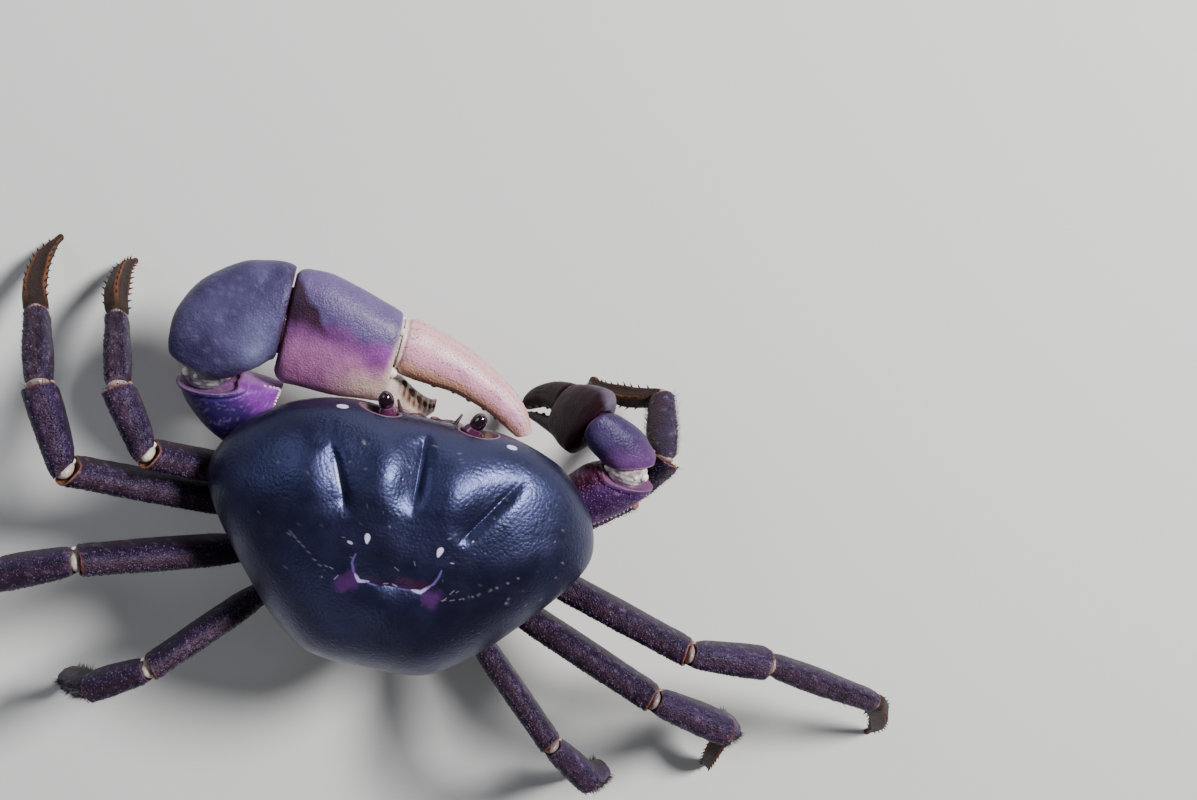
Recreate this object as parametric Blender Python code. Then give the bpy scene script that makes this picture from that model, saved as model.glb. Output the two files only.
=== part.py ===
"""Land crab, life size, standing still on its eight walking legs.

All lengths below are millimetres in the crab's own frame: +X to its right, +Y forward, +Z up,
x = 0 on the midline, z = 0 on the floor. make_object turns them into metres, and ORIGIN puts
the middle of the whole stance on the row's origin.
"""
import math

import bmesh
import bpy
from mathutils import Matrix, Vector

MM = 0.001
ORIGIN = Vector((22.70, -11.98, 0.0))
GAP = 0.3

# Carapace: half outline from the middle of the front edge round to the middle of the rear edge
CARAPACE_HALF = [
    (0.0, 23.3), (7.0, 23.3), (15.0, 23.7), (21.0, 23.0), (26.0, 21.6), (30.5, 19.6),
    (34.5, 16.6), (38.0, 13.0), (41.0, 8.6), (42.8, 4.0), (42.9, -0.6), (40.4, -6.0),
    (36.0, -12.2), (31.0, -18.6), (24.5, -26.4), (17.0, -32.8), (10.5, -35.2), (0.0, -35.6)]
CARAPACE_STEPS = 30
CARAPACE_TOP = 65.5
CARAPACE_CENTRE_Y = -4.0
EDGE_FRONT_Z = 49.5
EDGE_SIDE_Z = 45.0
EDGE_REAR_Z = 42.0
UNDERSIDE_Z = 32.0
# Lower wall: share of the height from underside to edge, then share of the outline across and along
LOWER_WALL = [
    (0.0, 0.57, 0.77), (0.14, 0.73, 0.86), (0.36, 0.87, 0.925), (0.68, 0.965, 0.975)]
# Dome: share of the height from edge to top
DOME_LEVELS = [0.0, 0.2, 0.38, 0.54, 0.67, 0.77, 0.85, 0.91, 0.955, 0.985, 0.997]

# Sternum: corners between the leg sockets of one side, front to rear
SOCKET_CORNERS = [
    (12.5, 17.2), (16.3, 8.6), (18.6, 0.0), (18.9, -8.6), (17.0, -16.8), (12.0, -24.0)]
STERNUM_TOP = 31.7
STERNUM_WALL_FOOT = 22.4
STERNUM_BOTTOM = 20.3

# Legs of one side: height of the root, then the joints from the root's end to the foot
LEGS = {
    "leg_right_1": (26.6, [(30.4, -3.8, 22.8), (53.0, 13.6, 25.0), (55.8, 24.0, 33.0),
                           (56.0, 34.6, 15.5), (41.8, 32.8, 0.0)]),
    "leg_right_2": (27.0, [(32.0, -9.8, 26.2), (71.5, -16.6, 46.5), (90.8, -15.8, 44.0),
                           (124.6, -24.2, 28.8), (138.4, -42.0, 0.0)]),
    "leg_right_3": (27.2, [(30.0, -19.5, 27.0), (66.0, -28.6, 48.0), (84.6, -33.4, 44.0),
                           (94.0, -41.0, 20.5), (98.6, -59.0, 0.0)]),
    "leg_right_4": (28.0, [(25.0, -28.4, 29.0), (46.5, -45.6, 44.5), (58.0, -53.8, 39.5),
                           (65.0, -58.4, 21.8), (66.2, -68.6, 0.0)]),
    "leg_left_1": (27.0, [(-30.6, -3.4, 24.6), (-56.5, 1.5, 45.5), (-65.5, 12.8, 40.5),
                          (-70.5, 24.5, 23.0), (-71.5, 34.4, 0.0)]),
    "leg_left_2": (27.0, [(-32.5, -10.0, 26.2), (-72.0, -5.6, 46.5), (-81.0, 10.2, 44.0),
                          (-87.2, 21.6, 24.0), (-89.0, 35.6, 0.0)]),
    "leg_left_3": (27.2, [(-30.0, -19.5, 27.0), (-65.6, -24.6, 47.0), (-81.0, -33.0, 41.5),
                          (-90.0, -41.6, 19.0), (-93.4, -61.4, 0.0)]),
    "leg_left_4": (28.0, [(-25.0, -28.4, 29.0), (-45.8, -46.4, 44.5), (-56.8, -55.0, 39.0),
                          (-63.6, -61.2, 21.5), (-67.0, -71.0, 0.0)])}
# Half thickness and half height of each segment at its stoutest, thickest legs in the middle
LEG_STOUTNESS = {"1": 0.95, "2": 1.0, "3": 1.0, "4": 0.88}
# The front right leg lies folded under the small claw, so its merus and carpus lean over
LEG_LEAN = {("leg_right_1", "merus"): math.radians(66), ("leg_right_1", "carpus"): math.radians(35),
            ("leg_right_1", "propodus"): math.radians(75)}
FOOT_HALF = 0.75
LEG_SIDES = 12
DACTYL_SIDES = 8

# Big claw on the left, small one on the right: joints from the root's end to the wrist
CLAW_ROOT_Z = 26.6
LEFT_ARM = [(-31.5, 5.6, 29.0), (-48.8, 20.2, 37.0), (-34.7, 35.2, 38.0)]
RIGHT_ARM = [(32.8, 5.0, 29.6), (47.4, 20.4, 39.8), (37.8, 28.8, 40.2)]
LEFT_CLAW_TILT = math.radians(15.0)


def smooth_step(low, high, value):
    """0 below low, 1 above high, smooth between."""
    share = min(max((value - low) / (high - low), 0.0), 1.0)
    return share * share * (3.0 - 2.0 * share)


def spline(points, count):
    """Evenly parted points on a Catmull-Rom curve through the given ones."""
    points = [Vector(p) for p in points]
    ends = [points[0] * 2 - points[1]] + points + [points[-1] * 2 - points[-2]]
    spans = len(points) - 1
    curve = []
    for step in range(count + 1):
        place = step / count * spans
        span = min(int(place), spans - 1)
        t = place - span
        a, b, c, d = ends[span:span + 4]
        curve.append(0.5 * ((2 * b) + (c - a) * t + (2 * a - 5 * b + 4 * c - d) * t * t
                            + (3 * b - a - 3 * c + d) * t * t * t))
    return curve


def section(out, inner, top, low, power, sides):
    """Superellipse with its own half size on each side, as (across, up) pairs."""
    pairs = []
    for i in range(sides):
        angle = 2 * math.pi * (i + 0.5) / sides
        c = math.cos(angle)
        s = math.sin(angle)
        across = math.copysign(abs(c) ** (2 / power), c) * (out if c > 0 else inner)
        up = math.copysign(abs(s) ** (2 / power), s) * (top if s > 0 else low)
        pairs.append((across, up))
    return pairs


def make_mesh(name, rings, pole=None, base_pole=None):
    """Closed mesh from rings of equal length, with flat ends or a single point at an end."""
    bm = bmesh.new()
    rows = [[bm.verts.new(p * MM) for p in ring] for ring in rings]
    count = len(rows[0])
    for low, high in zip(rows, rows[1:]):
        for i in range(count):
            j = (i + 1) % count
            bm.faces.new((low[i], low[j], high[j], high[i]))
    for row, point in ((rows[0], base_pole), (rows[-1], pole)):
        if point is None:
            bm.faces.new(row)
            continue
        tip = bm.verts.new(point * MM)
        for i in range(count):
            bm.faces.new((row[i], row[(i + 1) % count], tip))
    bmesh.ops.recalc_face_normals(bm, faces=bm.faces)
    mesh = bpy.data.meshes.new(name)
    bm.to_mesh(mesh)
    bm.free()
    return mesh


def make_object(name, mesh, collection):
    """Object in the row's frame that carries the mesh."""
    obj = bpy.data.objects.new(name, mesh)
    mesh.transform(Matrix.Translation(-ORIGIN * MM))
    collection.objects.link(obj)
    return obj


def finish(obj, colour, roughness, metallic=0.0):
    """Own material and smooth shading with sharp edges kept."""
    material = bpy.data.materials.new(obj.name)
    material.use_nodes = True
    shader = material.node_tree.nodes["Principled BSDF"]
    shader.inputs["Base Color"].default_value = (*colour, 1.0)
    shader.inputs["Roughness"].default_value = roughness
    shader.inputs["Metallic"].default_value = metallic
    obj.data.materials.clear()
    obj.data.materials.append(material)
    obj.data.shade_smooth()
    obj.data.set_sharp_from_angle(angle=math.radians(40))


def largest_shell(mesh):
    """Only the closed surface with the most faces stays in the mesh."""
    bm = bmesh.new()
    bm.from_mesh(mesh)
    waiting = set(bm.faces)
    shells = []
    while waiting:
        start = waiting.pop()
        shell = [start]
        queue = [start]
        while queue:
            face = queue.pop()
            for edge in face.edges:
                for other in edge.link_faces:
                    if other in waiting:
                        waiting.remove(other)
                        shell.append(other)
                        queue.append(other)
        shells.append(shell)
    shells.sort(key=len)
    for shell in shells[:-1]:
        bmesh.ops.delete(bm, geom=shell, context="FACES")
    bmesh.ops.delete(bm, geom=[v for v in bm.verts if not v.link_faces], context="VERTS")
    bm.to_mesh(mesh)
    bm.free()


def combine(obj, meshes, operation, solver="EXACT"):
    """Fuse the meshes with the object, or cut them from it, and apply the result."""
    pile = bpy.data.collections.new(obj.name + "_pieces")
    bpy.context.scene.collection.children.link(pile)
    for number, mesh in enumerate(meshes):
        make_object(obj.name + "_piece_" + str(number), mesh, pile)
    modifier = obj.modifiers.new("combine", "BOOLEAN")
    modifier.operation = operation
    modifier.operand_type = "COLLECTION"
    modifier.collection = pile
    modifier.solver = solver
    bpy.context.view_layer.update()
    evaluated = obj.evaluated_get(bpy.context.evaluated_depsgraph_get())
    result = bpy.data.meshes.new_from_object(evaluated)
    obj.modifiers.clear()
    obj.data = result
    for piece in list(pile.objects):
        bpy.data.objects.remove(piece)
    bpy.data.collections.remove(pile)
    largest_shell(obj.data)


class Limb:
    """Frame of one limb segment, whose two ends lie in the joint planes."""

    def __init__(self, start, end, across, cut_in, cut_out, gap_in=GAP / 2, gap_out=GAP / 2):
        axis = end - start
        self.start = start
        self.length = axis.length
        self.axis = axis.normalized()
        self.side = (across - self.axis * across.dot(self.axis)).normalized()
        self.up = self.axis.cross(self.side)
        if self.up.z < 0:
            self.up = -self.up
        self.cut_in = cut_in
        self.cut_out = cut_out
        self.gap_in = gap_in
        self.gap_out = gap_out

    def point(self, share, x, y):
        """Place at a share of the way from joint plane to joint plane, x across and y up."""
        radial = self.side * x + self.up * y
        first = (self.gap_in - radial.dot(self.cut_in)) / self.axis.dot(self.cut_in)
        last = self.length - (self.gap_out + radial.dot(self.cut_out)) / self.axis.dot(self.cut_out)
        return self.start + radial + self.axis * (first + (last - first) * share)

    def rings(self, stations, sides):
        """A station is (share, out, inner, top, low, power, shift across, shift up)."""
        return [[self.point(share, x + shift, y + lift)
                 for x, y in section(out, inner, top, low, power, sides)]
                for share, out, inner, top, low, power, shift, lift in stations]

    def skin(self, stations, share, angle):
        """Point of the surface at a share of the way and an angle round the axis, and the way out."""
        out, inner, top, low, power, shift, lift = station_at(stations, share)
        c = math.cos(angle)
        s = math.sin(angle)
        x = math.copysign(abs(c) ** (2 / power), c) * (out if c > 0 else inner)
        y = math.copysign(abs(s) ** (2 / power), s) * (top if s > 0 else low)
        return self.point(share, x + shift, y + lift), self.side * c + self.up * s


def station_at(stations, share):
    """Station values between two stations."""
    for low, high in zip(stations, stations[1:]):
        if share <= high[0]:
            part = (share - low[0]) / (high[0] - low[0])
            return [a + (b - a) * part for a, b in zip(low[1:], high[1:])]
    return list(stations[-1][1:])


def between(before, joint, after):
    """Normal of the plane that halves the bend at a joint."""
    return ((joint - before).normalized() + (after - joint).normalized()).normalized()


def spine_mesh(foot, direction, length, radius, sides=4):
    """Small sharp cone with its root sunk into what it grows from."""
    direction = direction.normalized()
    side = direction.orthogonal().normalized()
    other = direction.cross(side)
    root = foot - direction * SPINE_SINK * length
    ring = [root + (side * math.cos(2 * math.pi * i / sides)
                    + other * math.sin(2 * math.pi * i / sides)) * radius for i in range(sides)]
    return make_mesh("spine", [ring], pole=foot + direction * length)


def knob_mesh(foot, direction, length, radius, sides=5):
    """Small rounded tubercle or tooth with its root sunk into what it grows from."""
    direction = direction.normalized()
    side = direction.orthogonal().normalized()
    other = direction.cross(side)
    rings = []
    for along, size in ((-0.5 * length, 1.0), (0.55 * length, 0.78)):
        rings.append([foot + direction * along
                      + (side * math.cos(2 * math.pi * i / sides)
                         + other * math.sin(2 * math.pi * i / sides)) * radius * size
                      for i in range(sides)])
    return make_mesh("knob", rings, pole=foot + direction * length)


# Segment profiles: share of the length, then share of the full half thickness and half height
BASE_PROFILE = [(0.0, 0.86, 0.9), (0.16, 1.0, 1.0), (0.42, 0.93, 0.96), (0.6, 0.76, 0.84),
                (0.84, 0.74, 0.82), (1.0, 0.7, 0.74)]
MERUS_PROFILE = [(0.0, 0.66, 0.6), (0.07, 0.86, 0.78), (0.24, 1.0, 0.95), (0.55, 1.0, 1.0),
                 (0.84, 0.96, 0.93), (0.96, 0.98, 0.9), (1.0, 0.86, 0.8)]
CARPUS_PROFILE = [(0.0, 0.7, 0.66), (0.14, 0.86, 0.84), (0.45, 0.95, 0.95), (0.8, 1.0, 1.04),
                  (0.94, 1.0, 1.0), (1.0, 0.88, 0.86)]
PROPODUS_PROFILE = [(0.0, 0.72, 0.68), (0.12, 0.93, 0.9), (0.45, 1.0, 1.0), (0.8, 0.9, 0.9),
                    (0.95, 0.88, 0.86), (1.0, 0.78, 0.78)]
DACTYL_PROFILE = [(0.0, 0.78, 0.78), (0.08, 1.0, 1.0), (0.34, 0.92, 0.93), (0.62, 0.7, 0.72),
                  (0.84, 0.42, 0.44), (0.95, 0.26, 0.26)]
# Full half thickness, half height, section power of each segment
LEG_SEGMENTS = {
    "base": (3.1, 4.2, 2.4, BASE_PROFILE),
    "merus": (3.2, 5.7, 2.6, MERUS_PROFILE),
    "carpus": (3.6, 4.8, 2.6, CARPUS_PROFILE),
    "propodus": (3.0, 3.8, 2.7, PROPODUS_PROFILE),
    "dactyl": (2.3, 2.8, 2.6, DACTYL_PROFILE)}
DACTYL_BOW = 2.6
# Spines of a dactyl: four rows along its edges, longest in the middle
SPINE_ROW_ANGLES = [math.radians(45 + 90 * row) for row in range(4)]
SPINES_PER_ROW = 5
SPINE_FIRST = 0.15
SPINE_LAST = 0.84
SPINE_LENGTH = 1.7
SPINE_RADIUS = 0.5
SPINE_SINK = 0.4
SPINE_SLANT = 0.9
LEG_COLOURS = {
    "base": (0.20, 0.08, 0.10), "merus": (0.17, 0.09, 0.22), "carpus": (0.15, 0.08, 0.20),
    "propodus": (0.16, 0.09, 0.17), "dactyl": (0.17, 0.11, 0.10)}


def socket(side, number, height):
    """Middle and outward normal of a leg socket on the sternum's side wall."""
    x0, y0 = SOCKET_CORNERS[number]
    x1, y1 = SOCKET_CORNERS[number + 1]
    normal = Vector((y0 - y1, x1 - x0, 0.0)).normalized()
    middle = Vector(((x0 + x1) / 2, (y0 + y1) / 2, height))
    if side < 0:
        normal.x = -normal.x
        middle.x = -middle.x
    return middle, normal


def dactyl_spines(limb, stations):
    """Rows of spines along the four edges, slanted towards the foot."""
    spines = []
    for row, angle in enumerate(SPINE_ROW_ANGLES):
        for number in range(SPINES_PER_ROW):
            part = (number + 0.5 * (row % 2)) / (SPINES_PER_ROW - 0.5)
            share = SPINE_FIRST + (SPINE_LAST - SPINE_FIRST) * part
            foot, way_out = limb.skin(stations, share, angle)
            length = SPINE_LENGTH * (1.05 - 0.75 * abs(part - 0.4))
            direction = way_out + limb.axis * SPINE_SLANT
            spines.append(spine_mesh(foot, direction, length, SPINE_RADIUS))
    return spines


def leg(name, collection):
    """One walking leg: base, merus, carpus, propodus and spined dactyl."""
    height, joints = LEGS[name]
    joints = [Vector(p) for p in joints]
    side = 1 if joints[0].x > 0 else -1
    root, root_normal = socket(side, int(name[-1]), height)
    size = LEG_STOUTNESS[name[-1]]
    points = [root] + joints
    normals = [root_normal]
    for before, joint, after in zip(points, points[1:], points[2:]):
        normals.append(between(before, joint, after))
    normals.append(Vector((0.0, 0.0, -1.0)))
    for index, (part, (thick, high, power, profile)) in enumerate(LEG_SEGMENTS.items()):
        start = points[index]
        end = points[index + 1]
        axis = (end - start).normalized()
        across = axis.cross(Vector((0.0, 0.0, 1.0)))
        if part == "dactyl":
            across = (start - points[index - 1]).normalized().cross(axis)
        across = Matrix.Rotation(LEG_LEAN.get((name, part), 0.0), 3, axis) @ across
        stations = []
        for share, wide, tall in profile:
            bow = DACTYL_BOW * 4 * share * (1 - share) if part == "dactyl" else 0.0
            half_wide = thick * wide * size
            half_tall = high * tall * size
            stations.append((share, half_wide, half_wide, half_tall, half_tall, power, 0.0, bow))
        if part == "dactyl":
            stations.append((1.0, FOOT_HALF, FOOT_HALF, FOOT_HALF, FOOT_HALF, 2.0, 0.0, 0.0))
        limb = Limb(start, end, across, normals[index], normals[index + 1],
                    gap_in=GAP if part == "base" else GAP / 2,
                    gap_out=0.0 if part == "dactyl" else GAP / 2)
        sides = DACTYL_SIDES if part == "dactyl" else LEG_SIDES
        mesh = make_mesh(name + "_" + part, limb.rings(stations, sides))
        obj = make_object(name + "_" + part, mesh, collection)
        if part == "dactyl":
            combine(obj, dactyl_spines(limb, stations), "UNION")
        finish(obj, LEG_COLOURS[part], 0.5)


# Grooves of the carapace seen from above: points, half width and depth, right side or middle
GROOVES = [
    ([(0.0, 22.5), (0.0, 8.0)], 1.3, 0.8, False),
    ([(18.6, 13.2), (15.6, 9.4), (12.6, 4.6)], 1.2, 0.65, True),
    ([(9.4, -4.6), (8.6, -8.0), (6.2, -10.4), (3.0, -11.2), (0.0, -11.4)], 1.5, 1.1, True),
    ([(6.6, -10.6), (7.6, -16.0), (6.0, -24.0)], 1.8, 0.6, True),
    ([(12.4, 4.4), (9.8, -3.6)], 1.8, 0.35, True)]


def distance_to(point, a, b):
    """Distance in the plane from a point to the stretch from a to b."""
    along = b - a
    share = min(max((point - a).dot(along) / along.length_squared, 0.0), 1.0)
    return (point - a - along * share).length


def relief(x, y):
    """Depth of the carapace's grooves at a place seen from above."""
    depth = 0.0
    for points, width, deep, paired in GROOVES:
        spot = Vector((abs(x) if paired else x, y))
        near = min(distance_to(spot, Vector(a), Vector(b)) for a, b in zip(points, points[1:]))
        depth += deep * math.exp(-(near / width) ** 2)
    return depth


def carapace_level(curve_point, lower=None, rise=None):
    """Point of the carapace over one outline point, below or above the edge."""
    x, y = curve_point
    edge = EDGE_SIDE_Z + (EDGE_FRONT_Z - EDGE_SIDE_Z) * smooth_step(8.0, 23.0, y)
    edge += (EDGE_REAR_Z - EDGE_SIDE_Z) * smooth_step(-12.0, -35.0, y)
    if lower is not None:
        share, across, along = lower
        z = UNDERSIDE_Z + (edge - UNDERSIDE_Z) * share
    else:
        across = (1.0 - rise ** 2.25) ** 0.5
        along = across
        z = edge + (CARAPACE_TOP - edge) * rise
    x = x * across
    y = CARAPACE_CENTRE_Y + (y - CARAPACE_CENTRE_Y) * along
    if rise:
        z -= relief(x, y)
    return Vector((x, y, z))


def carapace_mesh():
    """Domed shield with swollen side walls that curve in above the legs."""
    half = spline(CARAPACE_HALF, CARAPACE_STEPS)
    outline = [tuple(p) for p in half] + [(-p[0], p[1]) for p in reversed(half[1:-1])]
    rings = [[carapace_level(p, lower=level) for p in outline] for level in LOWER_WALL]
    rings += [[carapace_level(p, rise=level) for p in outline] for level in DOME_LEVELS]
    top = Vector((0.0, CARAPACE_CENTRE_Y, CARAPACE_TOP))
    return make_mesh("carapace", rings, pole=top)


# Levels of the sternum: height, share of the outline and front edge between the claw sockets
STERNUM_LEVELS = [(STERNUM_BOTTOM, 0.84, 10.6), (STERNUM_WALL_FOOT, 1.0, 13.4),
                  (STERNUM_TOP, 1.0, 17.0)]


def sternum_mesh():
    """Shield of the underside with one flat socket wall for each leg."""
    middle = Vector((0.0, -4.0, 0.0))
    rings = []
    for z, share, front in STERNUM_LEVELS:
        half = []
        for x, y in SOCKET_CORNERS + [(0.0, -25.2)]:
            flat = middle + (Vector((x, y, 0.0)) - middle) * share
            half.append((flat.x, flat.y))
        half = [(0.0, front), (half[0][0] - 2.2, front)] + half
        outline = half + [(-x, y) for x, y in reversed(half[1:-1])]
        rings.append([Vector((x, y, z)) for x, y in outline])
    return make_mesh("sternum", rings)


# Tail flap: middle line in the (y, z) plane from behind the carapace to under the sternum,
# with its half width; each point after the first ends one of its segments
ABDOMEN_LINE = [(-35.0, 41.6, 7.6), (-33.2, 37.3, 9.0), (-30.6, 32.4, 9.8), (-27.8, 27.0, 10.0),
                (-24.9, 21.8, 9.2), (-19.0, 19.5, 8.0), (-8.0, 19.2, 6.0), (5.5, 19.4, 2.0)]
ABDOMEN_THICK = 1.25
SEAM_SHARE = 0.09
SEAM_THICK = 0.72


def abdomen_mesh(grow=0.0, outward=0.0):
    """Tail flap folded under the body, or its trough when grown."""
    line = [Vector(p) for p in ABDOMEN_LINE]
    stations = []
    for i, point in enumerate(line):
        stations.append((point, 1.0 if grow or i in (0, len(line) - 1) else SEAM_THICK))
        if not grow and i + 1 < len(line):
            for share in (SEAM_SHARE, 0.5, 1 - SEAM_SHARE):
                stations.append((point.lerp(line[i + 1], share), 1.06 if share == 0.5 else 1.0))
    if grow:
        first = line[0] + (line[0] - line[1]).normalized() * 3.0
        stations[0] = (Vector((first.x, first.y, line[0].z + grow)), 1.0)
        stations[-1] = (line[-1] + (line[-1] - line[-2]).normalized() * grow, 1.0)
    rings = []
    for i, (place, share) in enumerate(stations):
        point = Vector((0.0, place.x, place.y))
        low = stations[max(i - 1, 0)][0]
        high = stations[min(i + 1, len(stations) - 1)][0]
        ahead = Vector((0.0, high.x - low.x, high.y - low.y)).normalized()
        outer = Vector((1.0, 0.0, 0.0)).cross(ahead)
        if outer.dot(Vector((0.0, -5.0, 32.0)) - point) > 0:
            outer = -outer
        half = place.z + grow
        thick = ABDOMEN_THICK + grow
        ring = []
        for across, rise in ((-1.0, -0.6), (-0.8, -1.0), (0.8, -1.0), (1.0, -0.6), (1.0, 0.3),
                             (0.6, 1.0), (0.0, 1.25), (-0.6, 1.0), (-1.0, 0.3)):
            reach = thick * rise if rise < 0 else thick * rise * share + outward
            wide = half * across if rise < 0 else half * across * (0.5 + 0.5 * share)
            ring.append(point + Vector((wide, 0.0, 0.0)) + outer * reach)
        rings.append(ring)
    return make_mesh("abdomen", rings)


# Face: middle of the mouth plates, and the slope of the face they lie in
MOUTH_MIDDLE = Vector((0.0, 18.2, 34.0))
FACE_UP = Vector((0.0, 0.36, 0.933)).normalized()
FACE_OUT = Vector((0.0, 0.933, -0.36)).normalized()
MOUTH_OUTLINE = [(9.5, -9.7), (9.9, -6.0), (9.9, 3.0), (9.2, 6.6), (6.8, 9.4)]
MOUTH_DEPTH = 2.2
# Outer mouth plate of the right side as (across, up) on the face: its lower and upper plate
LOWER_PLATE = [(0.6, -9.3), (9.1, -9.3), (9.5, -6.0), (9.5, 0.2), (3.3, 0.8), (1.9, -1.8),
               (0.6, -6.4)]
UPPER_PLATE = [(3.4, 0.2), (9.5, -0.2), (9.5, 3.0), (8.8, 6.5), (6.6, 9.0), (4.6, 9.0),
               (3.4, 6.8)]
PLATE_TOP = 1.6
PALP_LINE = [(4.8, 7.4, 1.3), (2.9, 5.0, 1.0), (1.5, 1.6, 0.85), (1.1, -2.2, 0.6)]


def on_face(across, up, out):
    """Point of the face plane."""
    return MOUTH_MIDDLE + Vector((across, 0.0, 0.0)) + FACE_UP * up + FACE_OUT * out


def slab_mesh(outline, side, levels):
    """Plate on the face plane from levels of (height out of the face, share of the outline)."""
    middle = [sum(p[k] for p in outline) / len(outline) for k in (0, 1)]
    rings = []
    for depth, share in levels:
        rings.append([on_face((middle[0] + (x - middle[0]) * share) * side,
                              middle[1] + (up - middle[1]) * share, depth) for x, up in outline])
    return make_mesh("plate", rings)


def mouth_mesh():
    """Recess of the mouth field."""
    outline = MOUTH_OUTLINE + [(-x, up) for x, up in reversed(MOUTH_OUTLINE)]
    return slab_mesh(outline, 1, [(-MOUTH_DEPTH, 1.0), (8.0, 1.0)])


def palp_mesh(side):
    """Small feeler of a mouth plate that hangs into the gap between the plates."""
    rings = []
    for across, up, radius in PALP_LINE:
        rings.append([on_face((across + radius * math.cos(2 * math.pi * i / 6)) * side, up,
                              0.35 + radius * math.sin(2 * math.pi * i / 6)) for i in range(6)])
    return make_mesh("palp", rings)


def maxilliped(side, name, collection):
    """Outer mouthpart of one side: a lower and an upper plate with a seam between, and a palp."""
    low = -MOUTH_DEPTH + GAP
    levels = [(low, 0.96), (0.4, 1.0), (PLATE_TOP - 0.4, 0.94), (PLATE_TOP, 0.78)]
    obj = make_object(name, slab_mesh(LOWER_PLATE, side, levels), collection)
    upper = slab_mesh(UPPER_PLATE, side, levels)
    combine(obj, [upper, palp_mesh(side)], "UNION")
    finish(obj, (0.30, 0.16, 0.20), 0.5)


# Eyes: orbit hollow, stalk root and cornea tip on the right side
ORBIT_MIDDLE = Vector((10.8, 24.8, 50.8))
ORBIT_HALF = Vector((4.5, 4.4, 3.3))
EYE_ROOT = Vector((8.2, 20.2, 49.4))
EYE_TIP = Vector((10.9, 27.6, 52.0))
EYE_STALK = 1.55
EYE_PROFILE = [(0.0, EYE_STALK), (0.2, 1.6), (0.4, 1.7), (0.55, 1.55), (0.68, 1.72),
               (0.82, 1.64), (0.93, 1.15)]
ANTENNA_ROOT = Vector((5.4, 21.6, 46.4))
ANTENNA_TIP = Vector((7.2, 24.9, 43.6))
ANTENNA_PROFILE = [(0.0, 0.8), (0.3, 0.8), (0.34, 0.55), (0.7, 0.38), (1.0, 0.26)]


def mirrored(point, side):
    return Vector((point.x * side, point.y, point.z))


def turned_mesh(name, start, end, profile, sides, point_end):
    """Round tapered piece from start to end."""
    axis = end - start
    side = axis.orthogonal().normalized()
    other = axis.normalized().cross(side)
    rings = []
    for share, radius in profile:
        rings.append([start + axis * share + (side * math.cos(2 * math.pi * i / sides)
                                              + other * math.sin(2 * math.pi * i / sides)) * radius
                      for i in range(sides)])
    return make_mesh(name, rings, pole=end if point_end else None)


def hollow_mesh(middle, half, sides=14, rows=8):
    """Ellipsoid that cuts an orbit."""
    rings = []
    for row in range(1, rows):
        polar = math.pi * row / rows
        rings.append([middle + Vector((half.x * math.sin(polar) * math.cos(2 * math.pi * i / sides),
                                       half.y * math.sin(polar) * math.sin(2 * math.pi * i / sides),
                                       -half.z * math.cos(polar)))
                      for i in range(sides)])
    return make_mesh("hollow", rings, pole=middle + Vector((0, 0, half.z)),
                     base_pole=middle - Vector((0, 0, half.z)))


# Tubercles on the merus crest: first and last share of the way, angle round the axis, count
CRESTS = {"claw_left": (0.38, 0.86, math.pi, 10), "claw_right": (0.2, 0.92, 0.0, 11)}


def crest_knobs(limb, stations, first, last, angle, count):
    """Row of rounded tubercles along one edge of a segment."""
    knobs = []
    for number in range(count):
        share = first + (last - first) * number / (count - 1)
        foot, way_out = limb.skin(stations, share, angle)
        knobs.append(knob_mesh(foot - way_out * 0.15, way_out, 0.85, 0.62))
    return knobs


def arm(name, side, joints, merus, carpus, wrist_normal, collection):
    """Arm of a claw: base, merus with its row of tubercles, and carpus."""
    joints = [Vector(p) for p in joints]
    root, root_normal = socket(side, 0, CLAW_ROOT_Z)
    points = [root] + joints
    normals = [root_normal, between(*points[0:3]), between(*points[1:4]), wrist_normal]
    base = [(share, 3.2 * wide, 3.2 * wide, 4.0 * tall, 4.0 * tall, 2.4, 0.0, 0.0)
            for share, wide, tall in BASE_PROFILE]
    for index, (part, stations) in enumerate((("base", base), ("merus", merus),
                                              ("carpus", carpus))):
        start = points[index]
        end = points[index + 1]
        across = (end - start).cross(Vector((0.0, 0.0, 1.0)))
        if across.x * side < 0:
            across = -across
        limb = Limb(start, end, across, normals[index], normals[index + 1],
                    gap_in=GAP if part == "base" else GAP / 2)
        mesh = make_mesh(name + "_" + part, limb.rings(stations, ARM_SIDES[part]))
        obj = make_object(name + "_" + part, mesh, collection)
        if part == "merus":
            combine(obj, crest_knobs(limb, stations, *CRESTS[name]), "UNION")
        finish(obj, (0.16, 0.08, 0.28), 0.45)


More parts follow.
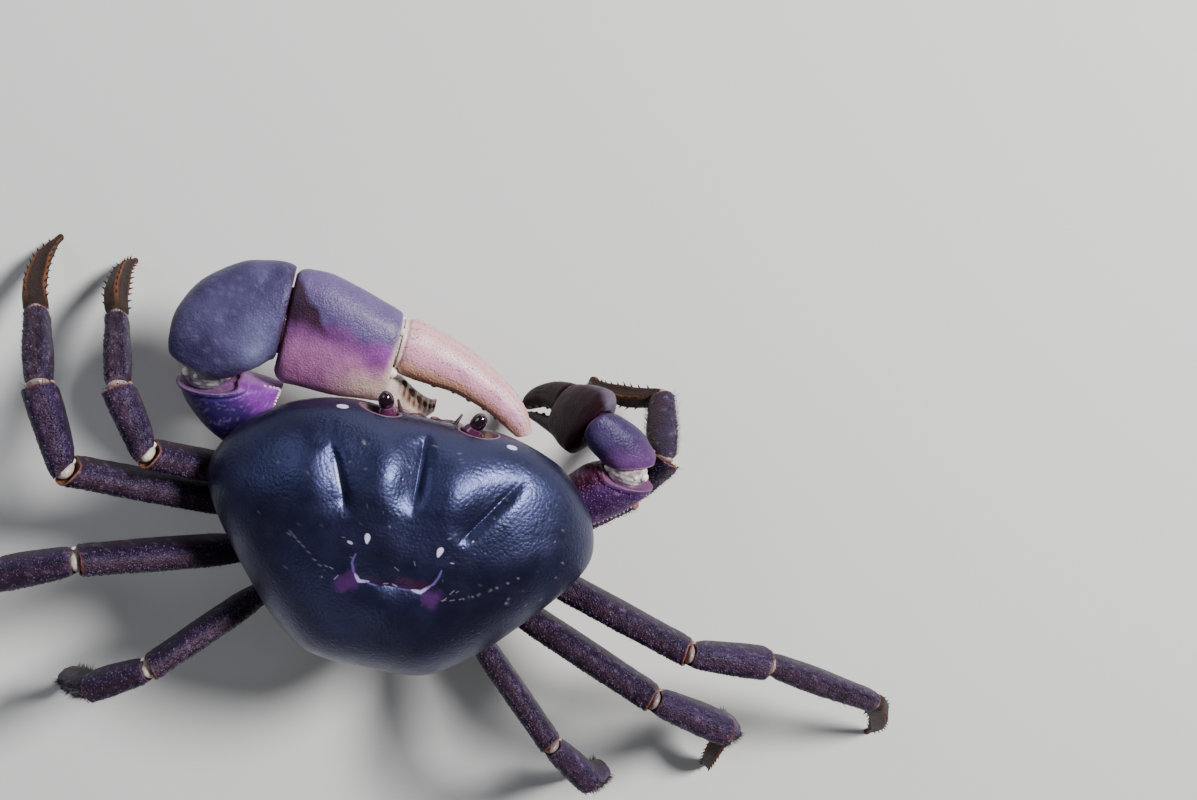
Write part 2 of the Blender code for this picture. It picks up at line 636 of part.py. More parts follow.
ARM_SIDES = {"base": 12, "merus": 14, "carpus": 16}
LEFT_MERUS = [(0.0, 4.0, 3.6, 3.8, 3.8, 2.2, 0.0, 0.0), (0.12, 5.6, 4.6, 4.6, 4.6, 2.0, 0.0, 0.0),
              (0.32, 7.4, 7.4, 5.2, 5.2, 1.8, 0.0, 0.0), (0.5, 8.2, 10.2, 5.6, 5.6, 1.7, 0.0, 0.0),
              (0.66, 7.8, 11.2, 6.0, 6.0, 1.7, 0.0, 0.0), (0.82, 6.6, 9.8, 6.2, 6.2, 1.9, 0.0, 0.0),
              (0.94, 6.0, 7.0, 6.2, 6.2, 2.1, 0.0, 0.0), (1.0, 5.4, 5.6, 5.4, 5.4, 2.2, 0.0, 0.0)]
LEFT_CARPUS = [(0.0, 4.4, 4.6, 4.6, 4.6, 2.2, 0.0, 0.0), (0.1, 7.4, 4.4, 6.6, 6.6, 2.2, 0.0, 0.0),
               (0.22, 11.0, 4.4, 8.2, 8.2, 2.2, 0.0, 0.0),
               (0.36, 15.0, 4.8, 9.2, 9.2, 2.1, 0.0, 0.0),
               (0.5, 16.8, 5.2, 9.6, 9.6, 2.1, 0.0, 0.0),
               (0.65, 15.8, 5.4, 9.4, 9.4, 2.1, 0.0, 0.0),
               (0.8, 12.8, 5.4, 8.9, 8.9, 2.1, 0.0, 0.0),
               (0.93, 10.0, 5.6, 8.4, 8.4, 2.1, 0.0, 0.0), (1.0, 8.2, 5.2, 7.5, 7.5, 2.1, 0.0, 0.0)]
RIGHT_MERUS = [(0.0, 3.9, 3.2, 3.4, 3.4, 2.2, 0.0, 0.0), (0.12, 6.2, 4.0, 3.9, 3.9, 2.0, 0.0, 0.0),
               (0.32, 8.2, 4.6, 4.3, 4.0, 1.8, 0.0, 0.0), (0.55, 8.6, 5.2, 4.7, 4.3, 1.7, 0.0, 0.0),
               (0.78, 7.6, 5.6, 5.0, 4.6, 1.8, 0.0, 0.0), (0.93, 6.0, 5.0, 4.8, 4.6, 2.0, 0.0, 0.0),
               (1.0, 5.2, 4.4, 4.2, 4.2, 2.1, 0.0, 0.0)]
RIGHT_CARPUS = [(0.0, 3.0, 3.2, 3.2, 3.2, 2.2, 0.0, 0.0), (0.14, 5.2, 3.6, 4.6, 4.2, 2.2, 0.0, 0.0),
                (0.34, 7.4, 4.0, 5.4, 4.8, 2.1, 0.0, 0.0),
                (0.58, 7.6, 4.3, 5.7, 5.0, 2.1, 0.0, 0.0),
                (0.8, 6.4, 4.4, 5.4, 4.8, 2.1, 0.0, 0.0), (0.94, 5.0, 4.0, 4.8, 4.4, 2.1, 0.0, 0.0),
                (1.0, 4.0, 3.4, 3.9, 3.9, 2.1, 0.0, 0.0)]

# Claw profile in the claw's own frame, for the big claw: distance from the wrist, upper border,
# lower border, half thickness. The upper border steps down where the finger hinges.
PALM = [(0.0, 10.8, -11.8, 5.6), (0.8, 12.0, -13.3, 6.5), (2.6, 12.7, -14.2, 7.0),
        (6.0, 12.9, -14.2, 7.3), (13.0, 11.4, -14.3, 7.7), (19.5, 9.4, -13.6, 7.3),
        (24.3, 7.6, -13.1, 6.5)]
WRIST_REACH = 14.0
# Fixed finger: along, cutting edge up and out, half height, half thickness, roll; then its tip.
# The small claw is closed. The big claw's fixed finger droops open and towards the floor.
CLOSED_FINGER = [(24.75, -5.4, 0.0, 3.85, 4.6, 0.0), (28.0, -6.7, 0.0, 3.3, 4.4, 0.0),
                 (34.0, -8.4, 0.0, 2.6, 4.0, 0.0), (41.0, -9.9, 0.0, 2.0, 3.3, 0.0),
                 (48.0, -11.6, 0.0, 1.4, 2.5, 0.0), (52.0, -12.9, 0.0, 0.9, 1.6, 0.0)]
CLOSED_TIP = (54.2, -14.4, 0.0)
OPEN_FINGER = [(24.75, -5.6, 0.0, 3.8, 4.6, 0.0), (28.0, -8.0, -0.6, 3.2, 4.0, 10.0),
               (31.2, -11.2, -2.4, 2.4, 3.2, 24.0), (34.0, -14.0, -5.4, 1.9, 2.5, 38.0),
               (36.2, -16.2, -9.2, 1.7, 2.1, 50.0), (37.8, -17.4, -13.0, 1.4, 1.6, 58.0)]
OPEN_TIP = (39.2, -18.2, -16.4)
# Movable finger: outer and inner border points, half thickness
FINGER = [((24.9, 6.6), (24.9, -4.7), 5.0), ((27.8, 7.0), (27.0, -5.6), 5.6),
          ((34.0, 5.6), (31.8, -6.1), 5.5), ((40.2, 3.6), (37.2, -6.3), 5.1),
          ((46.2, 0.8), (42.6, -7.3), 4.6), ((51.6, -2.4), (47.8, -9.0), 4.0),
          ((55.8, -6.2), (51.8, -11.0), 3.3), ((58.2, -10.4), (54.7, -12.6), 2.2)]
FINGER_TIP = (57.7, -13.5)
# Teeth of the cutting edges: share of the finger, height and radius; big claw, then small claw
BIG_TEETH = ([(0.24, 0.6, 0.8), (0.36, 1.0, 1.0), (0.48, 0.8, 0.9), (0.58, 0.9, 0.9),
              (0.68, 0.7, 0.8), (0.78, 0.6, 0.7)],
             [(0.22, 0.7, 0.9), (0.36, 1.0, 1.0), (0.50, 0.8, 0.9), (0.64, 0.8, 0.8),
              (0.78, 0.6, 0.7), (0.90, 0.5, 0.6)])
SMALL_TEETH = ([(0.33, 0.4, 0.6), (0.50, 0.5, 0.6), (0.66, 0.5, 0.55), (0.80, 0.4, 0.5)],
               [(0.42, 0.4, 0.6), (0.58, 0.5, 0.6), (0.74, 0.4, 0.5), (0.90, 0.3, 0.4)])


def teeth(edge, ways, sizes):
    """Rounded teeth along a cutting edge given by points and the way each faces."""
    knobs = []
    for share, height, radius in sizes:
        spot = share * (len(edge) - 1)
        low = min(int(spot), len(edge) - 2)
        foot = edge[low].lerp(edge[low + 1], spot - low)
        way = ways[low].lerp(ways[low + 1], spot - low).normalized()
        knobs.append(knob_mesh(foot - way * 0.35, way, height + 0.35, radius))
    return knobs


def claw(name, wrist, axis, height, scale, bend, wrist_normal, fixed, fixed_tip, sizes,
         collection):
    """Palm with its fixed finger, and the movable finger, in the claw's own frame.

    axis runs from the wrist to the fingers and height towards the movable finger's side.
    bend swings the finger tips out of the claw's plane.
    """
    axis = axis.normalized()
    height = (height - axis * height.dot(axis)).normalized()
    face = axis.cross(height)
    lead = axis.dot(wrist_normal)

    def place(along, up, out):
        swing = bend * (max(along - 20.0, 0.0) / 34.0) ** 2
        radial = height * up + face * (out + swing)
        slant = -radial.dot(wrist_normal) / lead * max(1.0 - along / WRIST_REACH, 0.0)
        return wrist + (axis * (along + slant) + radial) * scale

    rings = []
    for along, top, low, thick in PALM:
        middle = (top + low) / 2
        half = (top - low) / 2
        rings.append([place(along + GAP / 2 / scale, middle + y, x)
                      for x, y in section(thick, thick, half, half, 2.2, 16)])
    edge = []
    ways = []
    for along, top, out, half, thick, roll in fixed:
        c = math.cos(math.radians(roll))
        t = math.sin(math.radians(roll))
        ring = []
        for x, y in section(thick, thick, half, half, 2.2, 16):
            ring.append(place(along + GAP / 2 / scale, top + (y - half) * c - x * t,
                              out + (y - half) * t + x * c))
        rings.append(ring)
        edge.append(place(along + GAP / 2 / scale, top, out))
        ways.append(height * c + face * t)
    mesh = make_mesh(name + "_palm", rings, pole=place(*fixed_tip))
    palm = make_object(name + "_palm", mesh, collection)
    combine(palm, teeth(edge, ways, sizes[1]), "UNION")
    finish(palm, (0.45, 0.22, 0.40), 0.42)
    rings = []
    edge = []
    ways = []
    for (a0, b0), (a1, b1), thick in FINGER:
        middle = Vector(((a0 + a1) / 2, (b0 + b1) / 2))
        reach = (Vector((a0, b0)) - Vector((a1, b1))) / 2
        ring = []
        for x, y in section(thick, thick, 1.0, 1.0, 2.2, 14):
            spot = middle + reach * y
            ring.append(place(spot.x + GAP / scale, spot.y, x))
        rings.append(ring)
        edge.append(place(a1 + GAP / scale, b1, 0.0))
        ways.append(edge[-1] - place(a0 + GAP / scale, b0, 0.0))
    mesh = make_mesh(name + "_finger", rings, pole=place(FINGER_TIP[0], FINGER_TIP[1], 0.0))
    finger = make_object(name + "_finger", mesh, collection)
    combine(finger, teeth(edge, ways, sizes[0]), "UNION")
    finish(finger, (0.72, 0.50, 0.48), 0.4)


def body(collection):
    """Carapace, sternum, tail flap, mouth plates, eyes and antennae."""
    carapace = make_object("carapace", carapace_mesh(), collection)
    sternum = make_object("sternum", sternum_mesh(), collection)
    trough = abdomen_mesh(grow=GAP, outward=4.0)
    mouth = mouth_mesh()
    cutters = [trough.copy(), mouth.copy()]
    for side in (1, -1):
        root = mirrored(EYE_ROOT, side)
        tip = mirrored(EYE_TIP, side)
        cutters.append(hollow_mesh(mirrored(ORBIT_MIDDLE, side), ORBIT_HALF))
        back = (root - tip).normalized() * GAP
        cutters.append(turned_mesh("socket", root + back, tip, [(0.0, EYE_STALK + GAP), (0.5, EYE_STALK + GAP)],
                                   12, False))
        root = mirrored(ANTENNA_ROOT, side)
        tip = mirrored(ANTENNA_TIP, side)
        back = (root - tip).normalized() * GAP
        cutters.append(turned_mesh("socket", root + back, tip, [(0.0, 0.8 + GAP), (0.6, 0.8 + GAP)],
                                   10, False))
    combine(carapace, cutters, "DIFFERENCE")
    combine(sternum, [trough, mouth], "DIFFERENCE")
    finish(carapace, (0.045, 0.045, 0.09), 0.38)
    finish(sternum, (0.42, 0.30, 0.28), 0.55)
    abdomen = make_object("abdomen", abdomen_mesh(), collection)
    finish(abdomen, (0.55, 0.42, 0.36), 0.55)
    for side, word in ((1, "right"), (-1, "left")):
        maxilliped(side, "maxilliped_" + word, collection)
        mesh = turned_mesh("eye", mirrored(EYE_ROOT, side), mirrored(EYE_TIP, side), EYE_PROFILE,
                           12, True)
        finish(make_object("eye_" + word, mesh, collection), (0.06, 0.012, 0.03), 0.15)
        mesh = turned_mesh("antenna", mirrored(ANTENNA_ROOT, side), mirrored(ANTENNA_TIP, side),
                           ANTENNA_PROFILE, 8, False)
        finish(make_object("antenna_" + word, mesh, collection), (0.30, 0.14, 0.12), 0.5)


def main():
    for obj in list(bpy.data.objects):
        bpy.data.objects.remove(obj)
    crab = bpy.data.collections.new("land_crab")
    bpy.context.scene.collection.children.link(crab)
    body(crab)
    for name in LEGS:
        leg(name, crab)
    palm_axis = Vector((1.0, 0.0, 0.0))
    arm("claw_left", -1, LEFT_ARM, LEFT_MERUS, LEFT_CARPUS, palm_axis, crab)
    height = Vector((0.0, math.cos(LEFT_CLAW_TILT), math.sin(LEFT_CLAW_TILT)))
    claw("claw_left", Vector(LEFT_ARM[2]), palm_axis, height, 1.0, 3.0, palm_axis,
         OPEN_FINGER, OPEN_TIP, BIG_TEETH, crab)
    palm_axis = Vector((-5.2, 1.0, -18.4)).normalized()
    elbow = Vector(RIGHT_ARM[1])
    wrist = Vector(RIGHT_ARM[2])
    wrist_normal = between(elbow, wrist, wrist + palm_axis)
    arm("claw_right", 1, RIGHT_ARM, RIGHT_MERUS, RIGHT_CARPUS, wrist_normal, crab)
    height = Vector((0.25, 1.0, 0.1))
    claw("claw_right", wrist, palm_axis, height, 0.64, 0.0, wrist_normal,
         CLOSED_FINGER, CLOSED_TIP, SMALL_TEETH, crab)


main()
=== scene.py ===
"""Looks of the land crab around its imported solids.

Lengths are millimetres in the crab's own frame: +X to its right, +Y forward, +Z up, z = 0 on
the floor. Forms repeat the solids' named values at a finer step, and in_metres turns them into
metres around the row's origin.
"""
import math

import bmesh
import bpy
import numpy as np
from mathutils import Matrix, Vector


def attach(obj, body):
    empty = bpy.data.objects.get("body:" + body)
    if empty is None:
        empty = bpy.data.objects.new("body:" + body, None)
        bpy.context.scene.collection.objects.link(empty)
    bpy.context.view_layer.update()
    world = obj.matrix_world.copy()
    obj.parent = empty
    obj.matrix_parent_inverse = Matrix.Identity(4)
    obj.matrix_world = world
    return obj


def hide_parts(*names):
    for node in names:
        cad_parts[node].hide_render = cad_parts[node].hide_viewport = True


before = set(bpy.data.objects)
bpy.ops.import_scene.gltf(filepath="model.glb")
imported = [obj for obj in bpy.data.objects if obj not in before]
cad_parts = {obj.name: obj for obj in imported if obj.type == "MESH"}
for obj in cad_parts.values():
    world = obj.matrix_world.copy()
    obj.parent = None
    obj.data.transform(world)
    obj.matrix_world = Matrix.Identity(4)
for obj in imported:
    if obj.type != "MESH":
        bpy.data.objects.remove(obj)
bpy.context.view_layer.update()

MM = 0.001
ORIGIN = np.array((22.70, -11.98, 0.0))
GAP = 0.3
TURN = 2 * math.pi
DICE = np.random.RandomState(11)


def vec(*values):
    return np.array(values, float)


def unit(v):
    v = np.asarray(v, float)
    return v / np.maximum(np.linalg.norm(v, axis=-1, keepdims=True), 1e-12)


def ramp(x, low, high):
    """0 below low, 1 above high, smooth between."""
    t = np.clip((x - low) / (high - low), 0.0, 1.0)
    return t * t * (3.0 - 2.0 * t)


def fade(x, low, high):
    """1 below low, 0 above high, smooth between."""
    return 1.0 - ramp(x, low, high)


def hill(x, middle, width):
    """Bell curve, 1 at its middle."""
    return np.exp(-((x - middle) / width) ** 2)


def rgb(red, green, blue, satin=0.0):
    """Linear colour of an sRGB one from 0 to 255; the fourth number makes the surface glossier."""
    c = np.array((red, green, blue)) / 255.0
    return np.append(np.where(c <= 0.04045, c / 12.92, ((c + 0.055) / 1.055) ** 2.4), satin)


def mix(a, b, share):
    """Blend of two tints, all b at a share of 1."""
    share = np.asarray(share)[..., None]
    return a * (1.0 - share) + b * share


def paint(tint, *layers):
    """Tint under (colour, share) layers; a colour given as a tuple is an rgb one."""
    tint = rgb(*tint) if isinstance(tint, tuple) else tint
    for colour, share in layers:
        tint = mix(tint, rgb(*colour) if isinstance(colour, tuple) else colour, share)
    return tint


def noise3(p, size, seed=0):
    """Smooth noise between -1 and 1 at points p, with lumps of about the given size in mm.

    Each use has its own seed.
    """
    q = p / size + seed * 17.31
    base = np.floor(q).astype(np.int64)
    part = q - base
    part = part * part * (3.0 - 2.0 * part)
    total = np.zeros(p.shape[:-1])
    for corner in range(8):
        step = np.array((corner & 1, corner >> 1 & 1, corner >> 2 & 1))
        key = base + step
        mixed = (key[..., 0] * 73856093) ^ (key[..., 1] * 19349663) ^ (key[..., 2] * 83492791)
        mixed = (mixed ^ (mixed >> 13)) * 1274126177 & 0x7FFFFFFF
        value = (mixed ^ (mixed >> 16)) % 65536 / 32768.0 - 1.0
        weight = np.prod(np.where(step == 1, part, 1.0 - part), axis=-1)
        total += weight * value
    return total


def blotches(p, size, seed, fine, share, low, high):
    """Blotches from 0 to 1, of two sizes of noise: the share is the finer one's."""
    return ramp(noise3(p, size, seed) + share * noise3(p, fine, seed + 1), low, high)


def smooth_table(table, at):
    """Rows of a table at the places asked for, on curves through the rows without overshoot."""
    table = np.asarray(table, float)
    x = table[:, 0]
    y = table[:, 1:]
    steps = np.diff(x)[:, None]
    slopes = np.diff(y, axis=0) / steps
    tangent = np.zeros_like(y)
    tangent[0] = slopes[0]
    tangent[-1] = slopes[-1]
    product = slopes[:-1] * slopes[1:]
    total = slopes[:-1] + slopes[1:]
    inner = 2.0 * product / np.where(np.abs(total) < 1e-12, 1.0, total)
    tangent[1:-1] = np.where(product > 0, inner, 0.0)
    at = np.asarray(at, float)
    i = np.clip(np.searchsorted(x, at, side="right") - 1, 0, len(x) - 2)
    h = (x[i + 1] - x[i])[..., None]
    t = (at - x[i])[..., None] / h
    return ((2 * t ** 3 - 3 * t ** 2 + 1) * y[i] + (t ** 3 - 2 * t ** 2 + t) * h * tangent[i]
            + (3 * t ** 2 - 2 * t ** 3) * y[i + 1] + (t ** 3 - t ** 2) * h * tangent[i + 1])


def oval(angle, out, inner, top, low, power):
    """Superellipse with its own half size on each side."""
    c = np.cos(angle)
    s = np.sin(angle)
    x = np.sign(c) * np.abs(c) ** (2 / power) * np.where(c > 0, out, inner)
    y = np.sign(s) * np.abs(s) ** (2 / power) * np.where(s > 0, top, low)
    return x, y


def around(sides):
    """Angles of evenly parted points round a ring."""
    return TURN * np.arange(sides) / sides


LEAST_REACH = 0.2


def lifted(x, y, lift, tall=1.0):
    """Point of an oval pushed out by lift mm; tall is the size of y in mm."""
    grow = 1.0 + lift / np.maximum(np.hypot(x, y * tall), LEAST_REACH)
    return x * grow, y * grow


class Surface:
    """Closed forms gathered into one piece, with a colour at every point."""

    def __init__(self):
        self.points = []
        self.tints = []
        self.quads = []
        self.triangles = []
        self.count = 0

    def add(self, points, tints, quads, triangles):
        """Adds a closed form, turned inside out if its faces look inwards."""
        corners = np.concatenate([quads[:, [0, 1, 2]], quads[:, [0, 2, 3]], triangles])
        a, b, c = (points[corners[:, k]] - points[0] for k in range(3))
        if np.sum(a * np.cross(b, c)) < 0:
            quads = quads[:, ::-1]
            triangles = triangles[:, ::-1]
        self.points.append(points)
        self.tints.append(tints)
        self.quads.append(quads + self.count)
        self.triangles.append(triangles + self.count)
        self.count += len(points)

    def crowd(self, rows, tints, start=None, end=None):
        """Closed forms of one make, (items, rings, sides, 3), each end brought to a point."""
        rows = np.asarray(rows, float)
        items, n, m = rows.shape[:3]
        tints = np.broadcast_to(tints, (items, n, m, 4))
        start = rows[:, 0].mean(axis=1) if start is None else start
        end = rows[:, -1].mean(axis=1) if end is None else end
        points = np.concatenate([rows.reshape(items, -1, 3), start[:, None], end[:, None]], axis=1)
        colours = np.concatenate([tints.reshape(items, -1, 4), tints[:, :1].mean(axis=2),
                                  tints[:, -1:].mean(axis=2)], axis=1)
        j = np.arange(m)
        k = (j + 1) % m
        i = np.arange(n - 1)[:, None] * m
        quads = np.stack([i + j, i + k, i + m + k, i + m + j], axis=-1).reshape(-1, 4)
        last = (n - 1) * m
        triangles = np.concatenate([np.stack([k, j, np.full(m, n * m)], axis=-1),
                                    np.stack([last + j, last + k, np.full(m, n * m + 1)], axis=-1)])
        step = np.arange(items)[:, None, None] * (n * m + 2)
        self.add(points.reshape(-1, 3), colours.reshape(-1, 4), (quads + step).reshape(-1, 4),
                 (triangles + step).reshape(-1, 3))

    def grid(self, rows, tints, start=None, end=None):
        """One closed form from rings, each end brought to a point: the ring's middle if none."""
        rows = np.asarray(rows, float)
        tints = np.broadcast_to(tints, rows.shape[:-1] + (4,))
        self.crowd(rows[None], tints[None], None if start is None else np.asarray(start)[None],
                   None if end is None else np.asarray(end)[None])
        return self

    def build(self, node, material, slot, extra=False):
        """Piece of this form that stands for a node, or an extra one."""
        name = node if extra else node + "_shell"
        quads = np.concatenate(self.quads)
        triangles = np.concatenate(self.triangles)
        mesh = bpy.data.meshes.new(name)
        mesh.vertices.add(self.count)
        mesh.vertices.foreach_set("co", in_metres(np.concatenate(self.points)))
        loops = np.concatenate([quads.ravel(), triangles.ravel()]).astype(np.int32)
        mesh.loops.add(len(loops))
        mesh.loops.foreach_set("vertex_index", loops)
        starts = np.concatenate([np.arange(len(quads)) * 4,
                                 len(quads) * 4 + np.arange(len(triangles)) * 3])
        mesh.polygons.add(len(starts))
        mesh.polygons.foreach_set("loop_start", starts.astype(np.int32))
        mesh.update(calc_edges=True)
        mesh.validate()
        place_piece(name, mesh, np.concatenate(self.tints), material, slot,
                    *([] if extra else [node]))


def in_metres(points):
    """Flat coordinates of points around the row's origin."""
    return ((points - ORIGIN) * MM).ravel()


def place_piece(name, mesh, tints, material, slot, *nodes):
    """Colours a mesh and hangs it on the frame in the nodes' place."""
    layer = mesh.color_attributes.new("tint", "FLOAT_COLOR", "POINT")
    layer.data.foreach_set("color", tints.astype(np.float32).ravel())
    mesh.shade_smooth()
    mesh.materials.append(MATERIALS[material])
    obj = link_new(name, mesh)
    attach(obj, "root")
    if nodes:
        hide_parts(*nodes)


# Materials: colour from the piece's own points, broken up by noise, with grain from bump
def set_sockets(node, **sockets):
    """Sets a node's sockets; an underscore stands for the space in a name."""
    for key, value in sockets.items():
        node.inputs[key.replace("_", " ")].default_value = value


def shell(name, roughness, grain=0.5, grain_depth=0.12, pits=0.0, mottle=0.18, speck=0.0,
          coat=0.0, tint=(1.0, 1.0, 1.0), soft=0.0, shine=0.5, pit=1.6):
    """Shell material. grain is the size of its granules in mm and grain_depth their height."""
    material = bpy.data.materials.new(name)
    material.use_nodes = True
    nodes = material.node_tree.nodes
    links = material.node_tree.links
    bsdf = nodes["Principled BSDF"]
    set_sockets(bsdf, Roughness=roughness, Specular_Tint=(*tint, 1.0), Specular_IOR_Level=shine,
                Coat_Weight=coat, Coat_Roughness=0.12, Subsurface_Weight=soft,
                Subsurface_Radius=(1.0, 0.5, 0.4), Subsurface_Scale=0.0012)
    where = nodes.new("ShaderNodeTexCoord").outputs["Object"]

    def texture(kind, size, **sockets):
        node = nodes.new(kind)
        set_sockets(node, Scale=1000.0 / size, **sockets)
        links.new(where, node.inputs["Vector"])
        return node.outputs

    def ramped(source, low, high, from_low, from_high):
        node = nodes.new("ShaderNodeMapRange")
        set_sockets(node, From_Min=from_low, From_Max=from_high, To_Min=low, To_Max=high)
        links.new(source, node.inputs["Value"])
        return node.outputs["Result"]

    def joined(kind, operation, first, second, socket=1):
        node = nodes.new(kind)
        node.operation = operation
        links.new(first, node.inputs[0])
        links.new(second, node.inputs[socket])
        return node

    own = nodes.new("ShaderNodeAttribute")
    own.attribute_name = "tint"
    blotch = texture("ShaderNodeTexNoise", 5.0, Detail=6.0, Roughness=0.62)["Fac"]
    cells = texture("ShaderNodeTexVoronoi", grain, Randomness=0.9)["Distance"]
    colour = joined("ShaderNodeVectorMath", "SCALE", own.outputs["Color"],
                    ramped(blotch, 1.0 - mottle, 1.0 + mottle, 0.32, 0.68), "Scale")
    if speck:
        colour = joined("ShaderNodeVectorMath", "SCALE", colour.outputs["Vector"],
                        ramped(cells, 1.0 + speck, 1.0 - speck * 0.5, 0.1, 0.6), "Scale")
    links.new(colour.outputs["Vector"], bsdf.inputs["Base Color"])
    fine = texture("ShaderNodeTexNoise", grain * 0.7, Detail=3.0)["Fac"]
    relief = joined("ShaderNodeMath", "SUBTRACT", fine, cells)
    if pits:
        dots = texture("ShaderNodeTexVoronoi", pits, Randomness=1.0)["Distance"]
        relief = joined("ShaderNodeMath", "ADD", relief.outputs["Value"],
                        ramped(dots, -pit, 0.0, 0.06, 0.2))
    bump = nodes.new("ShaderNodeBump")
    set_sockets(bump, Distance=grain_depth * MM, Strength=1.0)
    links.new(relief.outputs["Value"], bump.inputs["Height"])
    links.new(bump.outputs["Normal"], bsdf.inputs["Normal"])
    gloss = joined("ShaderNodeMath", "SUBTRACT",
                   ramped(blotch, roughness - 0.07, roughness + 0.07, 0.3, 0.7),
                   own.outputs["Alpha"])
    gloss.use_clamp = True
    links.new(gloss.outputs["Value"], bsdf.inputs["Roughness"])
    return material


# Camera of the photograph
CAMERA_AT = vec(-34.7, 93.69, 400.94)
CAMERA_RIGHT = Vector((0.95426, 0.26125, 0.14536))
CAMERA_UP = Vector((-0.23002, 0.95215, -0.20123))
CAMERA_AHEAD = Vector((0.19098, -0.15859, -0.9687))


def link_new(name, data):
    """New object of the scene."""
    obj = bpy.data.objects.new(name, data)
    bpy.context.scene.collection.objects.link(obj)
    return obj


def set_camera():
    """Camera with the photo's framing."""
    data = bpy.data.cameras.new("photo_view")
    data.lens = 50.0
    data.sensor_width = 36.0
    data.clip_start = 0.01
    camera = link_new("photo_view", data)
    turn = Matrix((CAMERA_RIGHT, CAMERA_UP, -CAMERA_AHEAD)).transposed().to_4x4()
    camera.matrix_world = Matrix.Translation(Vector((CAMERA_AT - ORIGIN) * MM)) @ turn
    bpy.context.scene.camera = camera


LIGHTS = [
    # name, place in metres, size, power, colour
    ("key", (0.50, 0.62, 0.85), 0.30, 28.0, (1.0, 0.98, 0.97)),
    ("fill", (-0.75, 0.35, 0.60), 0.6, 2.2, (0.80, 0.87, 1.0)),
    ("back", (-0.2, -0.95, 0.55), 0.6, 0.7, (0.92, 0.95, 1.0)),
    ("low_front", (0.0, 1.0, 0.18), 0.5, 1.4, (1.0, 0.97, 0.95))]


def set_studio():
    """Lamps, world and pale floor."""
    for name, place, size, power, colour in LIGHTS:
        data = bpy.data.lights.new(name, "AREA")
        data.shape = "DISK"
        data.size = size
        data.energy = power
        data.color = colour
        light = link_new(name, data)
        light.location = place
        aim = Vector((0.0, 0.0, 0.03)) - light.location
        light.rotation_euler = aim.to_track_quat("-Z", "Y").to_euler()
    world = bpy.data.worlds.new("studio")
    world.use_nodes = True
    set_sockets(world.node_tree.nodes["Background"], Color=(0.86, 0.89, 0.93, 1.0), Strength=0.11)
    bpy.context.scene.world = world
    bm = bmesh.new()
    bmesh.ops.create_grid(bm, x_segments=2, y_segments=2, size=3.0)
    mesh = bpy.data.meshes.new("floor")
    bm.to_mesh(mesh)
    bm.free()
    material = bpy.data.materials.new("pale_floor")
    material.use_nodes = True
    nodes = material.node_tree.nodes
    bsdf = nodes["Principled BSDF"]
    bsdf.inputs["Roughness"].default_value = 0.8
    noise = nodes.new("ShaderNodeTexNoise")
    noise.inputs["Scale"].default_value = 3.0
    tone = nodes.new("ShaderNodeValToRGB")
    tone.color_ramp.elements[0].color = (0.60, 0.60, 0.59, 1.0)
    tone.color_ramp.elements[1].color = (0.66, 0.66, 0.65, 1.0)
    material.node_tree.links.new(noise.outputs["Fac"], tone.inputs["Fac"])
    material.node_tree.links.new(tone.outputs["Color"], bsdf.inputs["Base Color"])
    mesh.materials.append(material)
    link_new("floor", mesh)


# Carapace, the solids' values
CARAPACE_HALF = [
    (0.0, 23.3), (7.0, 23.3), (15.0, 23.7), (21.0, 23.0), (26.0, 21.6), (30.5, 19.6),
    (34.5, 16.6), (38.0, 13.0), (41.0, 8.6), (42.8, 4.0), (42.9, -0.6), (40.4, -6.0),
    (36.0, -12.2), (31.0, -18.6), (24.5, -26.4), (17.0, -32.8), (10.5, -35.2), (0.0, -35.6)]
CARAPACE_TOP = 65.5
CARAPACE_CENTRE_Y = -4.0
EDGE_FRONT_Z = 49.5
EDGE_SIDE_Z = 45.0
EDGE_REAR_Z = 42.0
UNDERSIDE_Z = 32.0
LOWER_WALL = [
    (0.0, 0.57, 0.77), (0.14, 0.73, 0.86), (0.36, 0.87, 0.925), (0.68, 0.965, 0.975),
    (1.0, 1.0, 1.0)]
ORBIT_MIDDLE = vec(10.8, 24.8, 50.8)
ORBIT_HALF = vec(4.5, 4.4, 3.3)
MOUTH_MIDDLE = vec(0.0, 18.2, 34.0)
FACE_UP = unit((0.0, 0.36, 0.933))
FACE_OUT = unit((0.0, 0.933, -0.36))
MOUTH_OUTLINE = [(9.5, -9.7), (9.9, -6.0), (9.9, 3.0), (9.2, 6.6), (6.8, 9.4)]
MOUTH_DEPTH = 2.2
MOUTH_HALF_HEIGHT = 9.5
MOUTH_BEHIND_Y = 5.0
MOUTH_BELOW_Z = 46.0

SLATE = (14, 12, 24)
SLATE_BLUE = (18, 18, 40)
PLUM = (44, 17, 40)
PALE_MARK = (196, 186, 214)
BONE = rgb(222, 214, 198)
BOTH = 2

DEEP_GROOVE = 1.0

# Grooves seen from above: points, half width, depth, BOTH sides or where they are drawn only
GROOVES = [
    ([(-0.7, 23.0), (-0.5, 15.0), (-0.1, 5.0)], 0.7, 2.1, 0),
    ([(-19.4, 15.6), (-16.9, 10.4), (-15.0, 6.4), (-13.0, 1.0)], 0.7, 1.7, 0),
    ([(21.0, 16.4), (15.9, 9.0), (13.0, 4.8), (10.6, 1.4)], 0.7, 1.6, 0),
    ([(-9.6, -4.4), (-9.75, -7.1), (-8.6, -9.3), (-6.8, -10.6), (-3.0, -10.5), (1.6, -10.2),
      (5.0, -10.3)], 0.7, 0.75, 0),
    ([(8.9, -3.2), (8.7, -6.1), (7.6, -8.6), (5.9, -10.1), (2.0, -10.3), (-1.6, -10.3),
      (-5.0, -10.6)], 0.7, 0.95, 0),
    ([(7.0, -10.8), (8.4, -16.0), (6.4, -24.0)], 1.2, 0.45, BOTH)]
